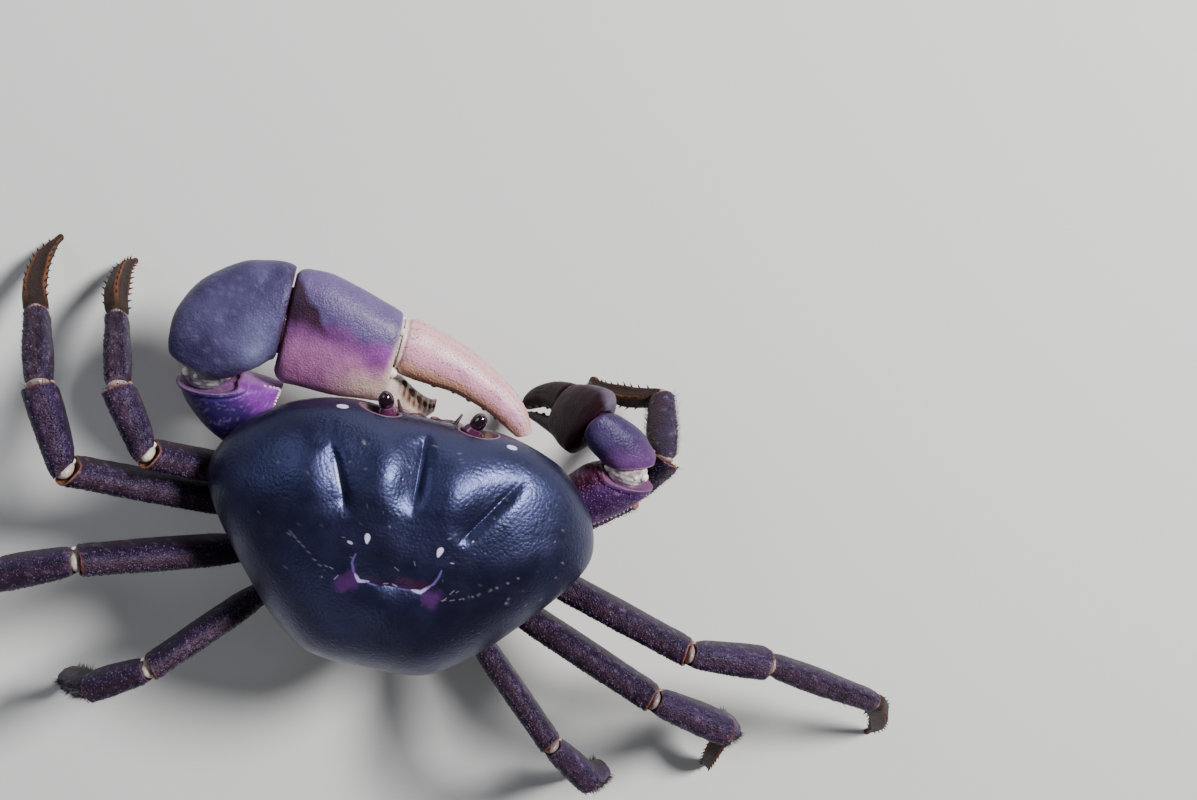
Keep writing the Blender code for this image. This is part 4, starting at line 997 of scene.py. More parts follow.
def leg_armour(surface, limb, stations, rows, bristles, longer):
    """Granules on the upper edge, bristles and small beads of the outer segments."""
    for turn, count, length in rows:
        angle = turn * math.pi + DICE.uniform(-0.05, 0.05, count)
        share = np.linspace(0.08, 0.93, count) + DICE.uniform(-0.01, 0.01, count)
        spikes(surface, limb.at(stations, share, angle), limb.way_out(angle) + limb.axis * 0.5,
               length * DICE.uniform(0.8, 1.3, count), 0.17, SPINE_HORN)
    share = DICE.uniform(0.05, 0.95, bristles)
    angle = DICE.choice([0.5, 0.4, 0.32, 0.6, 0.68, 1.5, 1.35, 1.65], bristles) * math.pi
    angle = angle + DICE.uniform(-0.14, 0.14, bristles)
    ways = limb.way_out(angle) + limb.axis * DICE.uniform(0.3, 1.4, bristles)[:, None]
    spikes(surface, limb.at(stations, share, angle), ways,
           DICE.uniform(0.6, 1.7, bristles) * longer, 0.06, HAIR, bends=limb.axis * 0.5, sides=3,
           steps=4)
    count = int(limb.length * 13)
    share = DICE.uniform(0.05, 0.95, count)
    angle = DICE.uniform(0.12, 0.88, count) * math.pi
    size = DICE.uniform(0.1, 0.2, count)
    tints = paint((52, 38, 62), ((104, 86, 114), DICE.uniform(0.0, 0.8, count)))
    beads(surface, limb.at(stations, share, angle), limb.way_out(angle) + limb.axis * 0.4, size,
          size, tints, sides=6, steps=3)


def leg(name):
    """One walking leg: base, merus, carpus, propodus and spined dactyl, with skin at the joints."""
    height, joints = LEGS[name]
    joints = [vec(*p) for p in joints]
    side = 1 if joints[0][0] > 0 else -1
    root, root_normal = socket(side, int(name[-1]), height)
    size = LEG_STOUTNESS[name[-1]]
    points = [root] + joints
    normals = [root_normal, *map(between, points, points[1:], points[2:]), vec(0, 0, -1)]
    for index, (part, (thick, high, power, profile)) in enumerate(LEG_SEGMENTS.items()):
        start, end = points[index:index + 2]
        dactyl = part == "dactyl"
        node = name + "_" + part
        axis = unit(end - start)
        across = np.cross(unit(start - points[index - 1]), axis) if dactyl else np.cross(
            axis, (0.0, 0.0, 1.0))
        across = turned(across, axis, LEG_LEAN.get(node, 0.0))
        stations = stations_of(profile, thick * size, high * size, power,
                               DACTYL_BOW if dactyl else 0.0)
        if dactyl:
            stations.append((1.0, *[FOOT_HALF] * 4, 2.0, 0.0, 0.0))
        limb = Limb(start, end, across, normals[index], normals[index + 1],
                    gap_in=GAP if part == "base" else GAP / 2,
                    gap_out=0.0 if dactyl else GAP / 2)
        leg_piece(node, part, limb, stations)
        if not dactyl:
            joint_skin(limb, stations, normals[index + 1], part == "merus" and side < 0)


JOINTS = Surface()


def joint_skin(limb, stations, normal, knee, dark=False):
    """Pale skin inside a joint, and the two knobs that it hinges on."""
    middle, across, up, out, top = limb.joint(stations, normal)
    tint = rgb(46, 20, 34) if dark else paint(BONE, ((104, 80, 88), 0.5 if knee else 0.85))
    blob(JOINTS, middle, (normal * (1.7 if knee else 1.2), across * out * 0.82, up * top * 0.84),
         tint)
    for way in (1, -1):
        spot = middle + across * way * out * 0.84 - up * top * 0.1 * np.sign(up[2])
        blob(JOINTS, spot, (normal * 0.8, across * 0.6, up * 0.8),
             BONE if knee else rgb(150, 116, 92), sides=14, rows=8)


# Claws
CLAW_ROOT_Z = 26.6
LEFT_ARM = [(-31.5, 5.6, 29.0), (-48.8, 20.2, 37.0), (-34.7, 35.2, 38.0)]
RIGHT_ARM = [(32.8, 5.0, 29.6), (47.4, 20.4, 39.8), (37.8, 28.8, 40.2)]
LEFT_CLAW_TILT = math.radians(15.0)
LEFT_MERUS = [(0.0, 4.0, 3.6, 3.8, 3.8, 2.2), (0.12, 5.6, 4.6, 4.6, 4.6, 2.0),
              (0.32, 7.4, 7.4, 5.2, 5.2, 1.8), (0.5, 8.2, 10.2, 5.6, 5.6, 1.7),
              (0.66, 7.8, 11.2, 6.0, 6.0, 1.7), (0.82, 6.6, 9.8, 6.2, 6.2, 1.9),
              (0.94, 6.0, 7.0, 6.2, 6.2, 2.1), (1.0, 5.4, 5.6, 5.4, 5.4, 2.2)]
LEFT_CARPUS = [(0.0, 4.4, 4.6, 4.6, 4.6, 2.2), (0.1, 7.4, 4.4, 6.6, 6.6, 2.2),
               (0.22, 11.0, 4.4, 8.2, 8.2, 2.2), (0.36, 15.0, 4.8, 9.2, 9.2, 2.1),
               (0.5, 16.8, 5.2, 9.6, 9.6, 2.1), (0.65, 15.8, 5.4, 9.4, 9.4, 2.1),
               (0.8, 12.8, 5.4, 8.9, 8.9, 2.1), (0.93, 10.0, 5.6, 8.4, 8.4, 2.1),
               (1.0, 8.2, 5.2, 7.5, 7.5, 2.1)]
RIGHT_MERUS = [(0.0, 3.9, 3.2, 3.4, 3.4, 2.2), (0.12, 6.2, 4.0, 3.9, 3.9, 2.0),
               (0.32, 8.2, 4.6, 4.3, 4.0, 1.8), (0.55, 8.6, 5.2, 4.7, 4.3, 1.7),
               (0.78, 7.6, 5.6, 5.0, 4.6, 1.8), (0.93, 6.0, 5.0, 4.8, 4.6, 2.0),
               (1.0, 5.2, 4.4, 4.2, 4.2, 2.1)]
RIGHT_CARPUS = [(0.0, 3.0, 3.2, 3.2, 3.2, 2.2), (0.14, 5.2, 3.6, 4.6, 4.2, 2.2),
                (0.34, 7.4, 4.0, 5.4, 4.8, 2.1), (0.58, 7.6, 4.3, 5.7, 5.0, 2.1),
                (0.8, 6.4, 4.4, 5.4, 4.8, 2.1), (0.94, 5.0, 4.0, 4.8, 4.4, 2.1),
                (1.0, 4.0, 3.4, 3.9, 3.9, 2.1)]
# Tubercles on the merus crest: first and last share of the way, angle round the axis, count,
# radius in mm
CRESTS = {"claw_left": (0.3, 0.86, 0.85 * math.pi, 13, 0.36),
          "claw_right": (0.16, 0.94, 0.02, 24, 0.3)}
ELBOW_DEPTH = 4.2
# Bare skin shown at an elbow: how far each segment's rim draws back, in mm
ELBOWS = {"claw_left": (3.2, 2.8), "claw_right": (2.4, 2.6)}


def arm_colour(left, part, limb):
    """Tint of one arm segment of the left or the right claw."""
    def colour(share, angle, p):
        slow = noise3(p, 4.0, 8)
        up = np.sin(angle)
        inward = -np.cos(angle)
        past = (1.0 - share) * limb.length
        if part == "carpus":
            # Painted highlight: a pale blue-grey patch on the carpus's upper inner face, past its
            # middle.
            painted_highlight = hill(share, 0.66, 0.2) * ramp(up, 0.2, 0.8) * ramp(inward, -0.5, 0.3)
            tint = paint((70, 64, 98), ((50, 43, 76), 0.5 + 0.5 * slow),
                         ((124, 128, 166), painted_highlight * 0.6))
            if not left:
                tint = paint(tint, ((46, 30, 66), 0.86),
                             ((96, 54, 108), fade(share, 0.1, 0.5) * 0.6))
            net = fade(np.abs(noise3(p, 1.3, 9)), 0.0, 0.12)
            tint = paint(tint, ((74, 28, 70), ramp(-up, -0.1, 0.5)),
                         ((58, 34, 64), fade(past, 0.2, 1.6) * 0.7),
                         ((112, 110, 146) if left else (86, 72, 112), net * 0.22))
        elif part == "base":
            tint = paint((88, 50, 64), ((112, 72, 76), 0.5 + 0.5 * slow))
        else:
            if left:
                tint = paint((44, 30, 84), ((112, 48, 140), ramp(inward + 0.3 * slow, 0.0, 0.7)),
                             ((170, 112, 176), ramp(inward, 0.75, 1.0) * 0.4))
            else:
                tint = paint((62, 34, 78), ((92, 48, 104), 0.5 + 0.5 * slow),
                             ((70, 22, 32), ramp(inward, 0.0, 0.5) * 0.9))
            stria = noise3(p + limb.axis * (p @ limb.axis)[..., None] * 1.4, 0.9, 10)
            tint = paint(tint, ((70, 28, 40), ramp(-up, 0.1, 0.6) * 0.85),
                         ((150, 122, 172), ramp(stria, 0.3, 0.7) * ramp(up, -0.2, 0.4) * 0.35),
                         ((120, 84, 112), fade(past, 0.05, 0.35) * 0.6))
        return paint(tint, ((150, 118, 124), fade(share * limb.length, 0.1, 0.5) * 0.6))
    return colour


def arm(name, side, joints, merus, carpus, wrist_normal):
    """Arm of a claw: base, merus with its row of tubercles, and carpus."""
    left = side < 0
    root, root_normal = socket(side, 0, CLAW_ROOT_Z)
    points = [root] + [vec(*p) for p in joints]
    normals = [root_normal, between(*points[0:3]), between(*points[1:4]), wrist_normal]
    tables = {"base": stations_of(BASE_PROFILE, 3.2, 4.0, 2.4),
              "merus": [(*row, 0.0, 0.0) for row in merus],
              "carpus": [(*row, 0.0, 0.0) for row in carpus]}
    for index, (part, stations) in enumerate(tables.items()):
        start, end = points[index:index + 2]
        across = np.cross(end - start, (0.0, 0.0, 1.0))
        across = across * np.sign(across[0] * side)
        limb = Limb(start, end, across, normals[index], normals[index + 1],
                    gap_in=GAP if part == "base" else GAP / 2)
        surface = Surface()

        def form(share, angle):
            lift = limb.rough(stations, share, angle, 1.6, 11)
            past = limb.length * (1.0 - share)
            front = back = 0.0
            if part == "merus":
                lift = lift - 0.22 * hill(past, 1.9, 0.5) + 0.1 * hill(past, 0.9, 0.4)
                back = ELBOWS[name][0] * ramp(np.cos(angle) + 0.6 * np.sin(angle), -0.6, 0.5)
            if part == "carpus":
                lift = lift + 0.12 * hill(past, 0.5, 1.2)
                front = ELBOWS[name][1] * (0.35 + 0.65 * ramp(np.sin(angle), -0.4, 0.5))
            pulled = (front + share * (limb.length - front - back)) / limb.length
            return limb.at(stations, pulled, angle, lift)

        shell_tube(surface, form, arm_colour(left, part, limb), shares_of(64), 88)
        if part == "merus":
            first, last, angle, count, radius = CRESTS[name]
            foot = form(np.linspace(first, last, count), np.full(count, angle))
            size = radius * (0.75 + 0.35 * np.sin(np.pi * np.linspace(0.1, 0.95, count)))
            beads(surface, foot, limb.way_out(angle) + limb.up * 0.5, size, size * 1.3,
                  rgb(226, 196, 220) if left else rgb(150, 116, 142), sides=12, steps=6)
            if not left:
                arm_granules(surface, limb, stations)
        surface.build(name + "_" + part, "arm", "arm_shell")
        if part == "merus":
            elbow_skin(limb, stations, normals[index + 1], left)
        else:
            joint_skin(limb, stations, normals[index + 1], False, part == "carpus")


def arm_granules(surface, limb, stations):
    """Short rows of pale granules on the upper face of a merus."""
    rows, row = 24, 12
    count = rows * row
    angle = (math.pi * np.tile(np.linspace(0.1, 0.66, row), rows)
             + DICE.uniform(-0.09, 0.09, count))
    share = np.repeat(np.linspace(0.26, 0.86, rows), row) + DICE.uniform(-0.013, 0.013, count)
    size = DICE.uniform(0.09, 0.19, count)
    tints = paint((74, 48, 94), ((122, 94, 148), DICE.uniform(0.0, 0.9, count)))
    beads(surface, limb.at(stations, share, angle), limb.way_out(angle), size, size * 0.8, tints,
          sides=7, steps=3)


def elbow_skin(limb, stations, normal, left):
    """Bare folded skin of an elbow with its hinge knobs."""
    middle, across, up, out, top = limb.joint(stations, normal)
    up = up * np.sign(up[2])

    def folds(polar, turn):
        return 1.0 + 0.022 * np.sin(polar * 22.0 + 1.2 * np.sin(turn * 3.0)) * np.sin(polar)

    axes = (normal * ELBOW_DEPTH, across * out * 0.88, up * top * 0.88)
    rows = globe(middle, axes, 60, 40, folds)
    patch = blotches(rows, 1.7, 20, 0.7, 0.5, -0.1, 0.6)
    JOINTS.grid(rows, paint((128, 126, 134), ((74, 66, 78), patch)) if left
                else paint((190, 182, 178), ((136, 118, 132), patch)),
                start=middle - axes[0], end=middle + axes[0])
    for way, size, drop in ((1, 1.1, 0.3), (-1, 1.3, 0.35), (-1, 0.8, 0.62), (1, 0.7, 0.62)):
        spot = middle + across * way * out * (1.12 - drop) + up * top * drop + normal * 0.4
        blob(JOINTS, spot, (normal * size, across * 0.9 * size, up * size), BONE, 18, 10)


# Claw profile in the claw's own frame: distance from the wrist, upper border, lower border,
# half thickness
PALM = [(0.0, 10.8, -11.8, 5.6), (0.8, 12.0, -13.3, 6.5), (2.6, 12.7, -14.2, 7.0),
        (6.0, 12.9, -14.2, 7.3), (13.0, 11.4, -14.3, 7.7), (19.5, 9.4, -13.6, 7.3),
        (24.3, 7.6, -13.1, 6.5)]
SMALL_WRIST = [(0.0, 7.6, -7.6, 4.8), (0.8, 9.6, -10.0, 5.8), (2.6, 11.2, -12.2, 6.6)]
WRIST_REACH = 14.0
CLAW_POWER = 2.2
BEND_FROM = 20.0
BEND_REACH = 34.0
HINGE_ALONG = 24.9
TOOTH_ROOT = 0.35
# Fixed fingers, past the palm's rows: distance from the wrist, top, out, half height, half
# thickness, roll in degrees
CLOSED_FINGER = [(24.75, -5.4, 0.0, 3.85, 4.6, 0.0), (28.0, -6.7, 0.0, 3.3, 4.4, 0.0),
                 (34.0, -8.4, 0.0, 2.6, 4.0, 0.0), (41.0, -9.9, 0.0, 2.0, 3.3, 0.0),
                 (48.0, -11.6, 0.0, 1.4, 2.5, 0.0), (52.0, -12.9, 0.0, 0.9, 1.6, 0.0)]
OPEN_FINGER = [(24.75, -5.6, 0.0, 3.8, 4.6, 0.0), (28.0, -8.0, -0.6, 3.2, 4.0, 10.0),
               (31.2, -11.2, -2.4, 2.4, 3.2, 24.0), (34.0, -14.0, -5.4, 1.9, 2.5, 38.0),
               (36.2, -16.2, -9.2, 1.7, 2.1, 50.0), (37.8, -17.4, -13.0, 1.4, 1.6, 58.0)]
# Movable finger: upper and lower border of each ring (along, up), half thickness
FINGER = [((24.9, 6.6), (24.9, -4.7), 5.0), ((27.8, 7.0), (27.0, -5.6), 5.6),
          ((34.0, 5.6), (31.8, -6.1), 5.5), ((40.2, 3.6), (37.2, -6.3), 5.1),
          ((46.2, 0.8), (42.6, -7.3), 4.6), ((51.6, -2.4), (47.8, -9.0), 4.0),
          ((55.8, -6.2), (51.8, -11.0), 3.3), ((58.2, -10.4), (54.7, -12.6), 2.2)]
# Teeth of the movable and the fixed finger: share of the edge, height, radius
BIG_TEETH = ([(0.24, 0.6, 0.8), (0.36, 1.0, 1.0), (0.48, 0.8, 0.9), (0.58, 0.9, 0.9),
              (0.68, 0.7, 0.8), (0.78, 0.6, 0.7)],
             [(0.22, 0.7, 0.9), (0.36, 1.0, 1.0), (0.50, 0.8, 0.9), (0.64, 0.8, 0.8),
              (0.78, 0.6, 0.7), (0.90, 0.5, 0.6)])
SMALL_TEETH = ([(0.33, 0.4, 0.6), (0.50, 0.5, 0.6), (0.66, 0.5, 0.55), (0.80, 0.4, 0.5)],
               [(0.42, 0.4, 0.6), (0.58, 0.5, 0.6), (0.74, 0.4, 0.5), (0.90, 0.3, 0.4)])


class Claw:
    """Palm with its fixed finger and the movable finger in the claw's own frame."""

    def __init__(self, name, wrist, axis, height, scale, bend, wrist_normal, fixed, sizes):
        self.name = name
        self.wrist = wrist
        self.axis = unit(axis)
        self.height = unit(height - self.axis * (height @ self.axis))
        self.face = np.cross(self.axis, self.height)
        self.scale = scale
        self.big = name == "claw_left"
        self.bend = bend
        self.wrist_normal = wrist_normal
        self.sizes = sizes
        rows = PALM if self.big else SMALL_WRIST + PALM[3:]
        self.stations = [(along, top, 0.0, (top - low) / 2, thick, 0.0)
                         for along, top, low, thick in rows] + fixed

    def place(self, along, up, out):
        """Place at a distance from the wrist, up towards the movable finger's side."""
        along, up, out = np.broadcast_arrays(along, up, out)
        swing = self.bend * (np.maximum(along - BEND_FROM, 0.0) / BEND_REACH) ** 2
        radial = self.height * up[..., None] + self.face * (out + swing)[..., None]
        slant = -(radial @ self.wrist_normal) / (self.axis @ self.wrist_normal)
        slant = slant * np.maximum(1.0 - along / WRIST_REACH, 0.0)
        return self.wrist + (self.axis * (along + slant)[..., None] + radial) * self.scale

    def palm_at(self, along, angle, lift=0.0):
        """Point of the palm's and fixed finger's surface."""
        top, out, half, thick, roll = np.moveaxis(smooth_table(self.stations, along), -1, 0)
        c = np.cos(np.radians(roll))
        t = np.sin(np.radians(roll))
        x, y = lifted(*oval(angle, thick, thick, half, half, CLAW_POWER), lift)
        return self.place(along + GAP / 2 / self.scale, top + (y - half) * c - x * t,
                          out + (y - half) * t + x * c)

    def finger_at(self, share, angle, lift=0.0):
        """Point of the movable finger's surface."""
        table = [(k, *a, *b, thick) for k, (a, b, thick) in enumerate(FINGER)]
        a0, b0, a1, b1, thick = np.moveaxis(smooth_table(table, share * (len(FINGER) - 1)), -1, 0)
        x, y = lifted(*oval(angle, thick, thick, 1.0, 1.0, CLAW_POWER), lift,
                      np.hypot(a0 - a1, b0 - b1) / 2)
        return self.place((a0 + a1) / 2 + (a0 - a1) / 2 * y + GAP / self.scale,
                          (b0 + b1) / 2 + (b0 - b1) / 2 * y, x)

    def shaded(self, angle, mid):
        """How far a side of the small claw turns to its dark maroon side, which is painted shade.
        """
        return -0.32 * np.cos(angle) - 0.95 * np.sin(angle) + 0.12 * mid

    def palm_colour(self, along, angle, p):
        """Tint of the palm and the fixed finger."""
        slow = noise3(p, 5.0, 12)
        mid = noise3(p, 2.2, 13)
        v = np.sin(angle) + 0.1 * mid
        if not self.big:
            # The small palm's dark maroon side is painted shade.
            return paint((84, 76, 92), ((32, 10, 20), ramp(self.shaded(angle, mid), -0.9, -0.5)),
                         ((90, 60, 76), fade(np.abs(along - 23.8), 0.2, 0.8) * 0.5))
        # Painted shadow of the carpus's rim on the palm: a dark maroon wedge running out from the
        # wrist on the upper side.
        carpus_shadow = along - 13.0 * (1.0 - v) - 0.5 * mid
        gape = hill(v, 0.8, 0.3) * ramp(along, 26.0, 29.0)
        bars = ramp(np.sin(along * 4.2 + mid), -0.3, 0.5)
        tint = paint((86, 72, 116), ((110, 62, 118), ramp(-v, -0.5, -0.25)),
                     ((158, 100, 146), ramp(-v, -0.22, 0.1)),
                     ((214, 184, 170), ramp(-v, 0.0, 0.5) * ramp(along, 9.0, 21.0)),
                     ((138, 70, 150), hill(v, 0.2, 0.22) * ramp(along, 16.0, 22.0) * 0.7),
                     ((150, 96, 90), ramp(-v, 0.9, 1.0) * 0.8),
                     # dark maroon wedge: painted shadow of the carpus's rim
                     ((40, 10, 26), fade(carpus_shadow, -1.4, 0.5) * ramp(v, 0.05, 0.4) * 0.9),
                     ((70, 28, 52), fade(along, 0.0, 1.4) * 0.7),
                     ((190, 160, 150), ramp(-np.cos(angle), 0.05, 0.6) * 0.7),
                     ((214, 192, 176), ramp(along - 1.2 * v, 22.6, 24.6) * 0.85),
                     ((104, 62, 36), gape * (0.65 + 0.35 * bars)),
                     ((50, 28, 22), gape * bars * ramp(v, 0.7, 0.9) * 0.7))
        return mix(tint, tint * (0.8, 0.8, 0.84, 1.0), ramp(slow, 0.0, 0.7))

    def finger_colour(self, share, angle, p):
        """Tint of the movable finger."""
        mid = noise3(p, 2.0, 14)
        v = np.sin(angle) + 0.1 * mid
        if not self.big:
            # The small finger's dark maroon side is painted shade.
            return paint((46, 34, 46), ((30, 10, 18), ramp(self.shaded(angle, mid), -0.95, -0.6)),
                         ((60, 40, 40), ramp(share, 0.85, 1.0) * 0.5))
        return paint((214, 150, 176), ((214, 172, 184), ramp(v, 0.2, 0.7)),
                     ((204, 156, 160), ramp(v, 0.62, 0.95)),
                     ((196, 146, 126), ramp(-v, -0.1, 0.35)),
                     ((144, 92, 58), ramp(-v, 0.35, 0.85)),
                     ((206, 168, 142), ramp(share, 0.8, 1.0) * 0.6),
                     ((206, 178, 168), fade(share, 0.03, 0.16) * 0.5),
                     ((224, 212, 196), fade(share, 0.0, 0.045) * 0.9))

    def teeth(self, surface, edge_at, sizes):
        """Rounded teeth along a cutting edge; edge_at gives its point and way out."""
        for share, height, radius in sizes:
            foot, way = edge_at(share)
            beads(surface, foot - way * TOOTH_ROOT, way, radius * 1.02, height + TOOTH_ROOT,
                  rgb(88, 54, 38) if self.big else rgb(60, 36, 34), sides=14, steps=7)

    def granules(self, surface):
        """Rows of fine dark granules along the movable finger."""
        rows, row = 15, 62
        count = rows * row
        share = (np.tile(np.linspace(0.08, 0.95, row), rows)
                 + 0.007 * np.repeat(np.arange(rows) % 2, row)
                 + DICE.uniform(-0.006, 0.006, count))
        angle = (np.repeat(np.linspace(-0.42, 1.42, rows), row) * math.pi
                 + DICE.uniform(-0.06, 0.06, count))
        p = self.finger_at(share, angle)
        tint = paint(self.finger_colour(share, angle, p), ((116, 66, 62), 0.5))
        size = 0.15 * self.scale * DICE.uniform(0.7, 1.25, count)
        beads(surface, p, unit(p - self.finger_at(share, angle, -0.5)), size, size * 0.9, tint,
              sides=6, steps=3)

    def build(self):
        """Palm, finger, and the skin and knobs of the hinge between them."""
        self.build_palm()
        self.build_finger()
        axes = (self.axis, self.height, self.face)
        blob(JOINTS, self.place(HINGE_ALONG, 1.0, 0.0),
             [a * size * self.scale for a, size in zip(axes, (1.7, 5.4, 4.7))],
             rgb(206, 192, 184) if self.big else rgb(96, 66, 72), 40, 20)
        for up, out, size in ((-4.5, 3.6, 1.3), (5.2, 3.2, 0.9), (-4.5, -3.6, 1.3),
                              (5.2, -3.2, 0.9)):
            blob(JOINTS, self.place(HINGE_ALONG, up, out), [a * size * self.scale for a in axes],
                 BONE if self.big else rgb(110, 80, 84), 18, 10)

    def build_palm(self):
        """Palm and fixed finger, with rings set closer where the form bends."""
        surface = Surface()
        steps = [(0.0, 3.0, 14), (3.0, 23.4, 52), (23.4, 25.4, 16),
                 (25.4, self.stations[-1][0], 56)]
        along = np.concatenate([np.linspace(*step)[:-1] for step in steps] + [steps[-1][1:2]])

        def form(share, angle):
            rough = 0.08 * noise3(self.palm_at(share, angle), 1.5, 15)
            return self.palm_at(share, angle, rough * ramp(share, 1.0, 4.0))

        shell_tube(surface, form, self.palm_colour, along, 150 if self.big else 110,
                   sunk=(1.4, None))
        fixed = np.array(self.stations[7:])[:, [0, 1, 2, 5]]
        table = np.column_stack([np.arange(len(fixed)), fixed])

        def fixed_edge(share):
            along, up, out, roll = smooth_table(table, np.array(share * (len(fixed) - 1)))
            roll = math.radians(roll)
            return (self.place(along + GAP / 2 / self.scale, up, out),
                    self.height * math.cos(roll) + self.face * math.sin(roll))

        self.teeth(surface, fixed_edge, self.sizes[1])
        surface.build(self.name + "_palm", "palm" if self.big else "small_palm", "palm_shell")

    def build_finger(self):
        """Movable finger with its teeth and granules."""
        surface = Surface()

        def form(share, angle):
            rough = 0.06 * noise3(self.finger_at(share, angle), 1.4, 16)
            return self.finger_at(share, angle, rough - 0.3 * hill(share, 0.05, 0.02))

        shell_tube(surface, form, self.finger_colour, shares_of(96, 0.03), 120, sunk=(1.2, None))

        def free_edge(share):
            foot, other = (self.finger_at(np.array(share), np.array(way * math.pi / 2))
                           for way in (-1, 1))
            return foot, unit(foot - other)

        self.teeth(surface, free_edge, self.sizes[0])
        self.granules(surface)
        surface.build(self.name + "_finger", "finger" if self.big else "small_palm",
                      "finger_shell")


def claws():
    """Both arms with their claws: the big left one lies flat, the small one hangs."""
    palm_axis = vec(1.0, 0.0, 0.0)
    height = vec(0.0, math.cos(LEFT_CLAW_TILT), math.sin(LEFT_CLAW_TILT))
    arm("claw_left", -1, LEFT_ARM, LEFT_MERUS, LEFT_CARPUS, palm_axis)
    Claw("claw_left", vec(*LEFT_ARM[2]), palm_axis, height, 1.0, 3.0, palm_axis, OPEN_FINGER,
         BIG_TEETH).build()
    palm_axis = unit((-5.2, 1.0, -18.4))
    elbow, wrist = np.array(RIGHT_ARM[1:])
    wrist_normal = between(elbow, wrist, wrist + palm_axis)
    arm("claw_right", 1, RIGHT_ARM, RIGHT_MERUS, RIGHT_CARPUS, wrist_normal)
    Claw("claw_right", wrist, palm_axis, vec(0.25, 1.0, 0.1), 0.64, 0.0, wrist_normal,
         CLOSED_FINGER, SMALL_TEETH).build()


# Eyes
EYE_ROOT = vec(8.2, 20.2, 49.4)
EYE_TIP = vec(10.9, 27.6, 52.0)
EYE_PROFILE = [(0.0, 1.55), (0.2, 1.75), (0.4, 1.95), (0.55, 1.55), (0.68, 1.72),
               (0.82, 1.64), (0.93, 1.15), (1.0, 0.0)]
EYE_ROUND_FROM = 0.76
ANTENNA_ROOT = vec(5.4, 21.6, 46.4)
ANTENNA_TIP = vec(7.2, 24.9, 43.6)
ANTENNA_PROFILE = [(0.0, 0.8), (0.3, 0.8), (0.34, 0.55), (0.7, 0.38), (1.0, 0.26)]


def eye(side, word):
    """Short stalk with a glossy bulb, the cornea on its outer front."""
    root = EYE_ROOT * (side, 1, 1)
    tip = EYE_TIP * (side, 1, 1)
    end = 1.0 - EYE_ROUND_FROM
    share = np.concatenate([np.linspace(0.0, EYE_ROUND_FROM, 40)[:-1], EYE_ROUND_FROM
                            + end * np.sin(np.linspace(0.0, math.pi / 2 - 0.06, 20))])
    radius = smooth_table(EYE_PROFILE, share)[:, 0]
    round_end = 1.7 * np.sqrt(np.maximum(1.0 - ((share - 0.72) / 0.28) ** 2, 0.0))
    radius = np.where(share > EYE_ROUND_FROM, round_end, radius) - 0.12 * hill(share, 0.57, 0.03)
    rows = rod(root, tip, share, radius, 64)
    share = share[:, None]
    spine = (root + (tip - root) * share)[:, None]
    ahead = (rows - spine) @ unit((0.5 * side, 0.85, 0.1)) / 2.0
    # The pink band round the stalk's thick base is a painted highlight, stronger on its front.
    tint = paint((66, 24, 56), ((22, 7, 16, 0.1), ramp(share * 2.2 + ahead * 0.9, 1.15, 1.4)),
                 ((120, 58, 92), hill(share, 0.3, 0.1) * (0.4 + 0.3 * ahead)),
                 ((150, 110, 120), hill(share, 0.57, 0.02) * 0.4))
    Surface().grid(rows, tint, end=tip).build("eye_" + word, "eye", "eyes")


def antenna(side, word):
    """Short antenna with a stout base and a ringed whip."""
    share = np.linspace(0.0, 1.0, 60)
    radius = smooth_table(ANTENNA_PROFILE, share)[:, 0]
    radius = radius * (1.0 + 0.07 * np.sin(share * 110.0) * ramp(share, 0.36, 0.42))
    rows = rod(ANTENNA_ROOT * (side, 1, 1), ANTENNA_TIP * (side, 1, 1), share, radius, 20)
    tint = paint((44, 20, 34), ((58, 34, 42), share[:, None]))
    Surface().grid(rows, tint).build("antenna_" + word, "mouth", "mouthparts")


# Underside, the solids' values
STERNUM_LEVELS = [(20.3, 0.84, 10.6), (22.4, 1.0, 13.4), (31.7, 1.0, 17.0)]
STERNUM_MIDDLE = vec(0.0, -4.0)
ABDOMEN_LINE = [(-35.0, 41.6, 7.6), (-33.2, 37.3, 9.0), (-30.6, 32.4, 9.8), (-27.8, 27.0, 10.0),
                (-24.9, 21.8, 9.2), (-19.0, 19.5, 8.0), (-8.0, 19.2, 6.0), (5.5, 19.4, 2.0)]
ABDOMEN_THICK = 1.25
BODY_MIDDLE = vec(-5.0, 32.0)  # along Y and Z
# The hollow for the flap: how far it reaches from the flap, its front end and its top
FLAP_REACH = 5.0
FLAP_FRONT_Y = 5.9
FLAP_TOP_Z = 41.9
FLAP_RINGS = 26
FLAP_SIDES = 84
FLAP_POWER = 3.4
FLAP_HAIRS = 170
LOWER_PLATE = [(0.6, -9.3), (9.1, -9.3), (9.5, -6.0), (9.5, 0.2), (3.3, 0.5), (1.9, -1.8),
               (0.6, -6.4)]
UPPER_PLATE = [(3.4, 0.5), (9.5, 0.2), (9.5, 3.0), (8.8, 6.5), (6.6, 9.0), (4.6, 9.0), (3.4, 6.8)]
PLATE_LEVELS = [(-1.9, 0.96), (-0.6, 0.985), (0.4, 1.0), (0.85, 0.99), (1.2, 0.965), (1.42, 0.92),
                (1.55, 0.85), (1.62, 0.74), (1.65, 0.6), (1.67, 0.45), (1.68, 0.3), (1.68, 0.15)]
PALP_LINE = [(4.8, 7.4, 1.3), (2.9, 5.0, 1.0), (1.5, 1.6, 0.85), (1.1, -2.2, 0.6)]
UNDER_PALE = rgb(158, 134, 136)
UNDER_DIM = rgb(106, 76, 92)


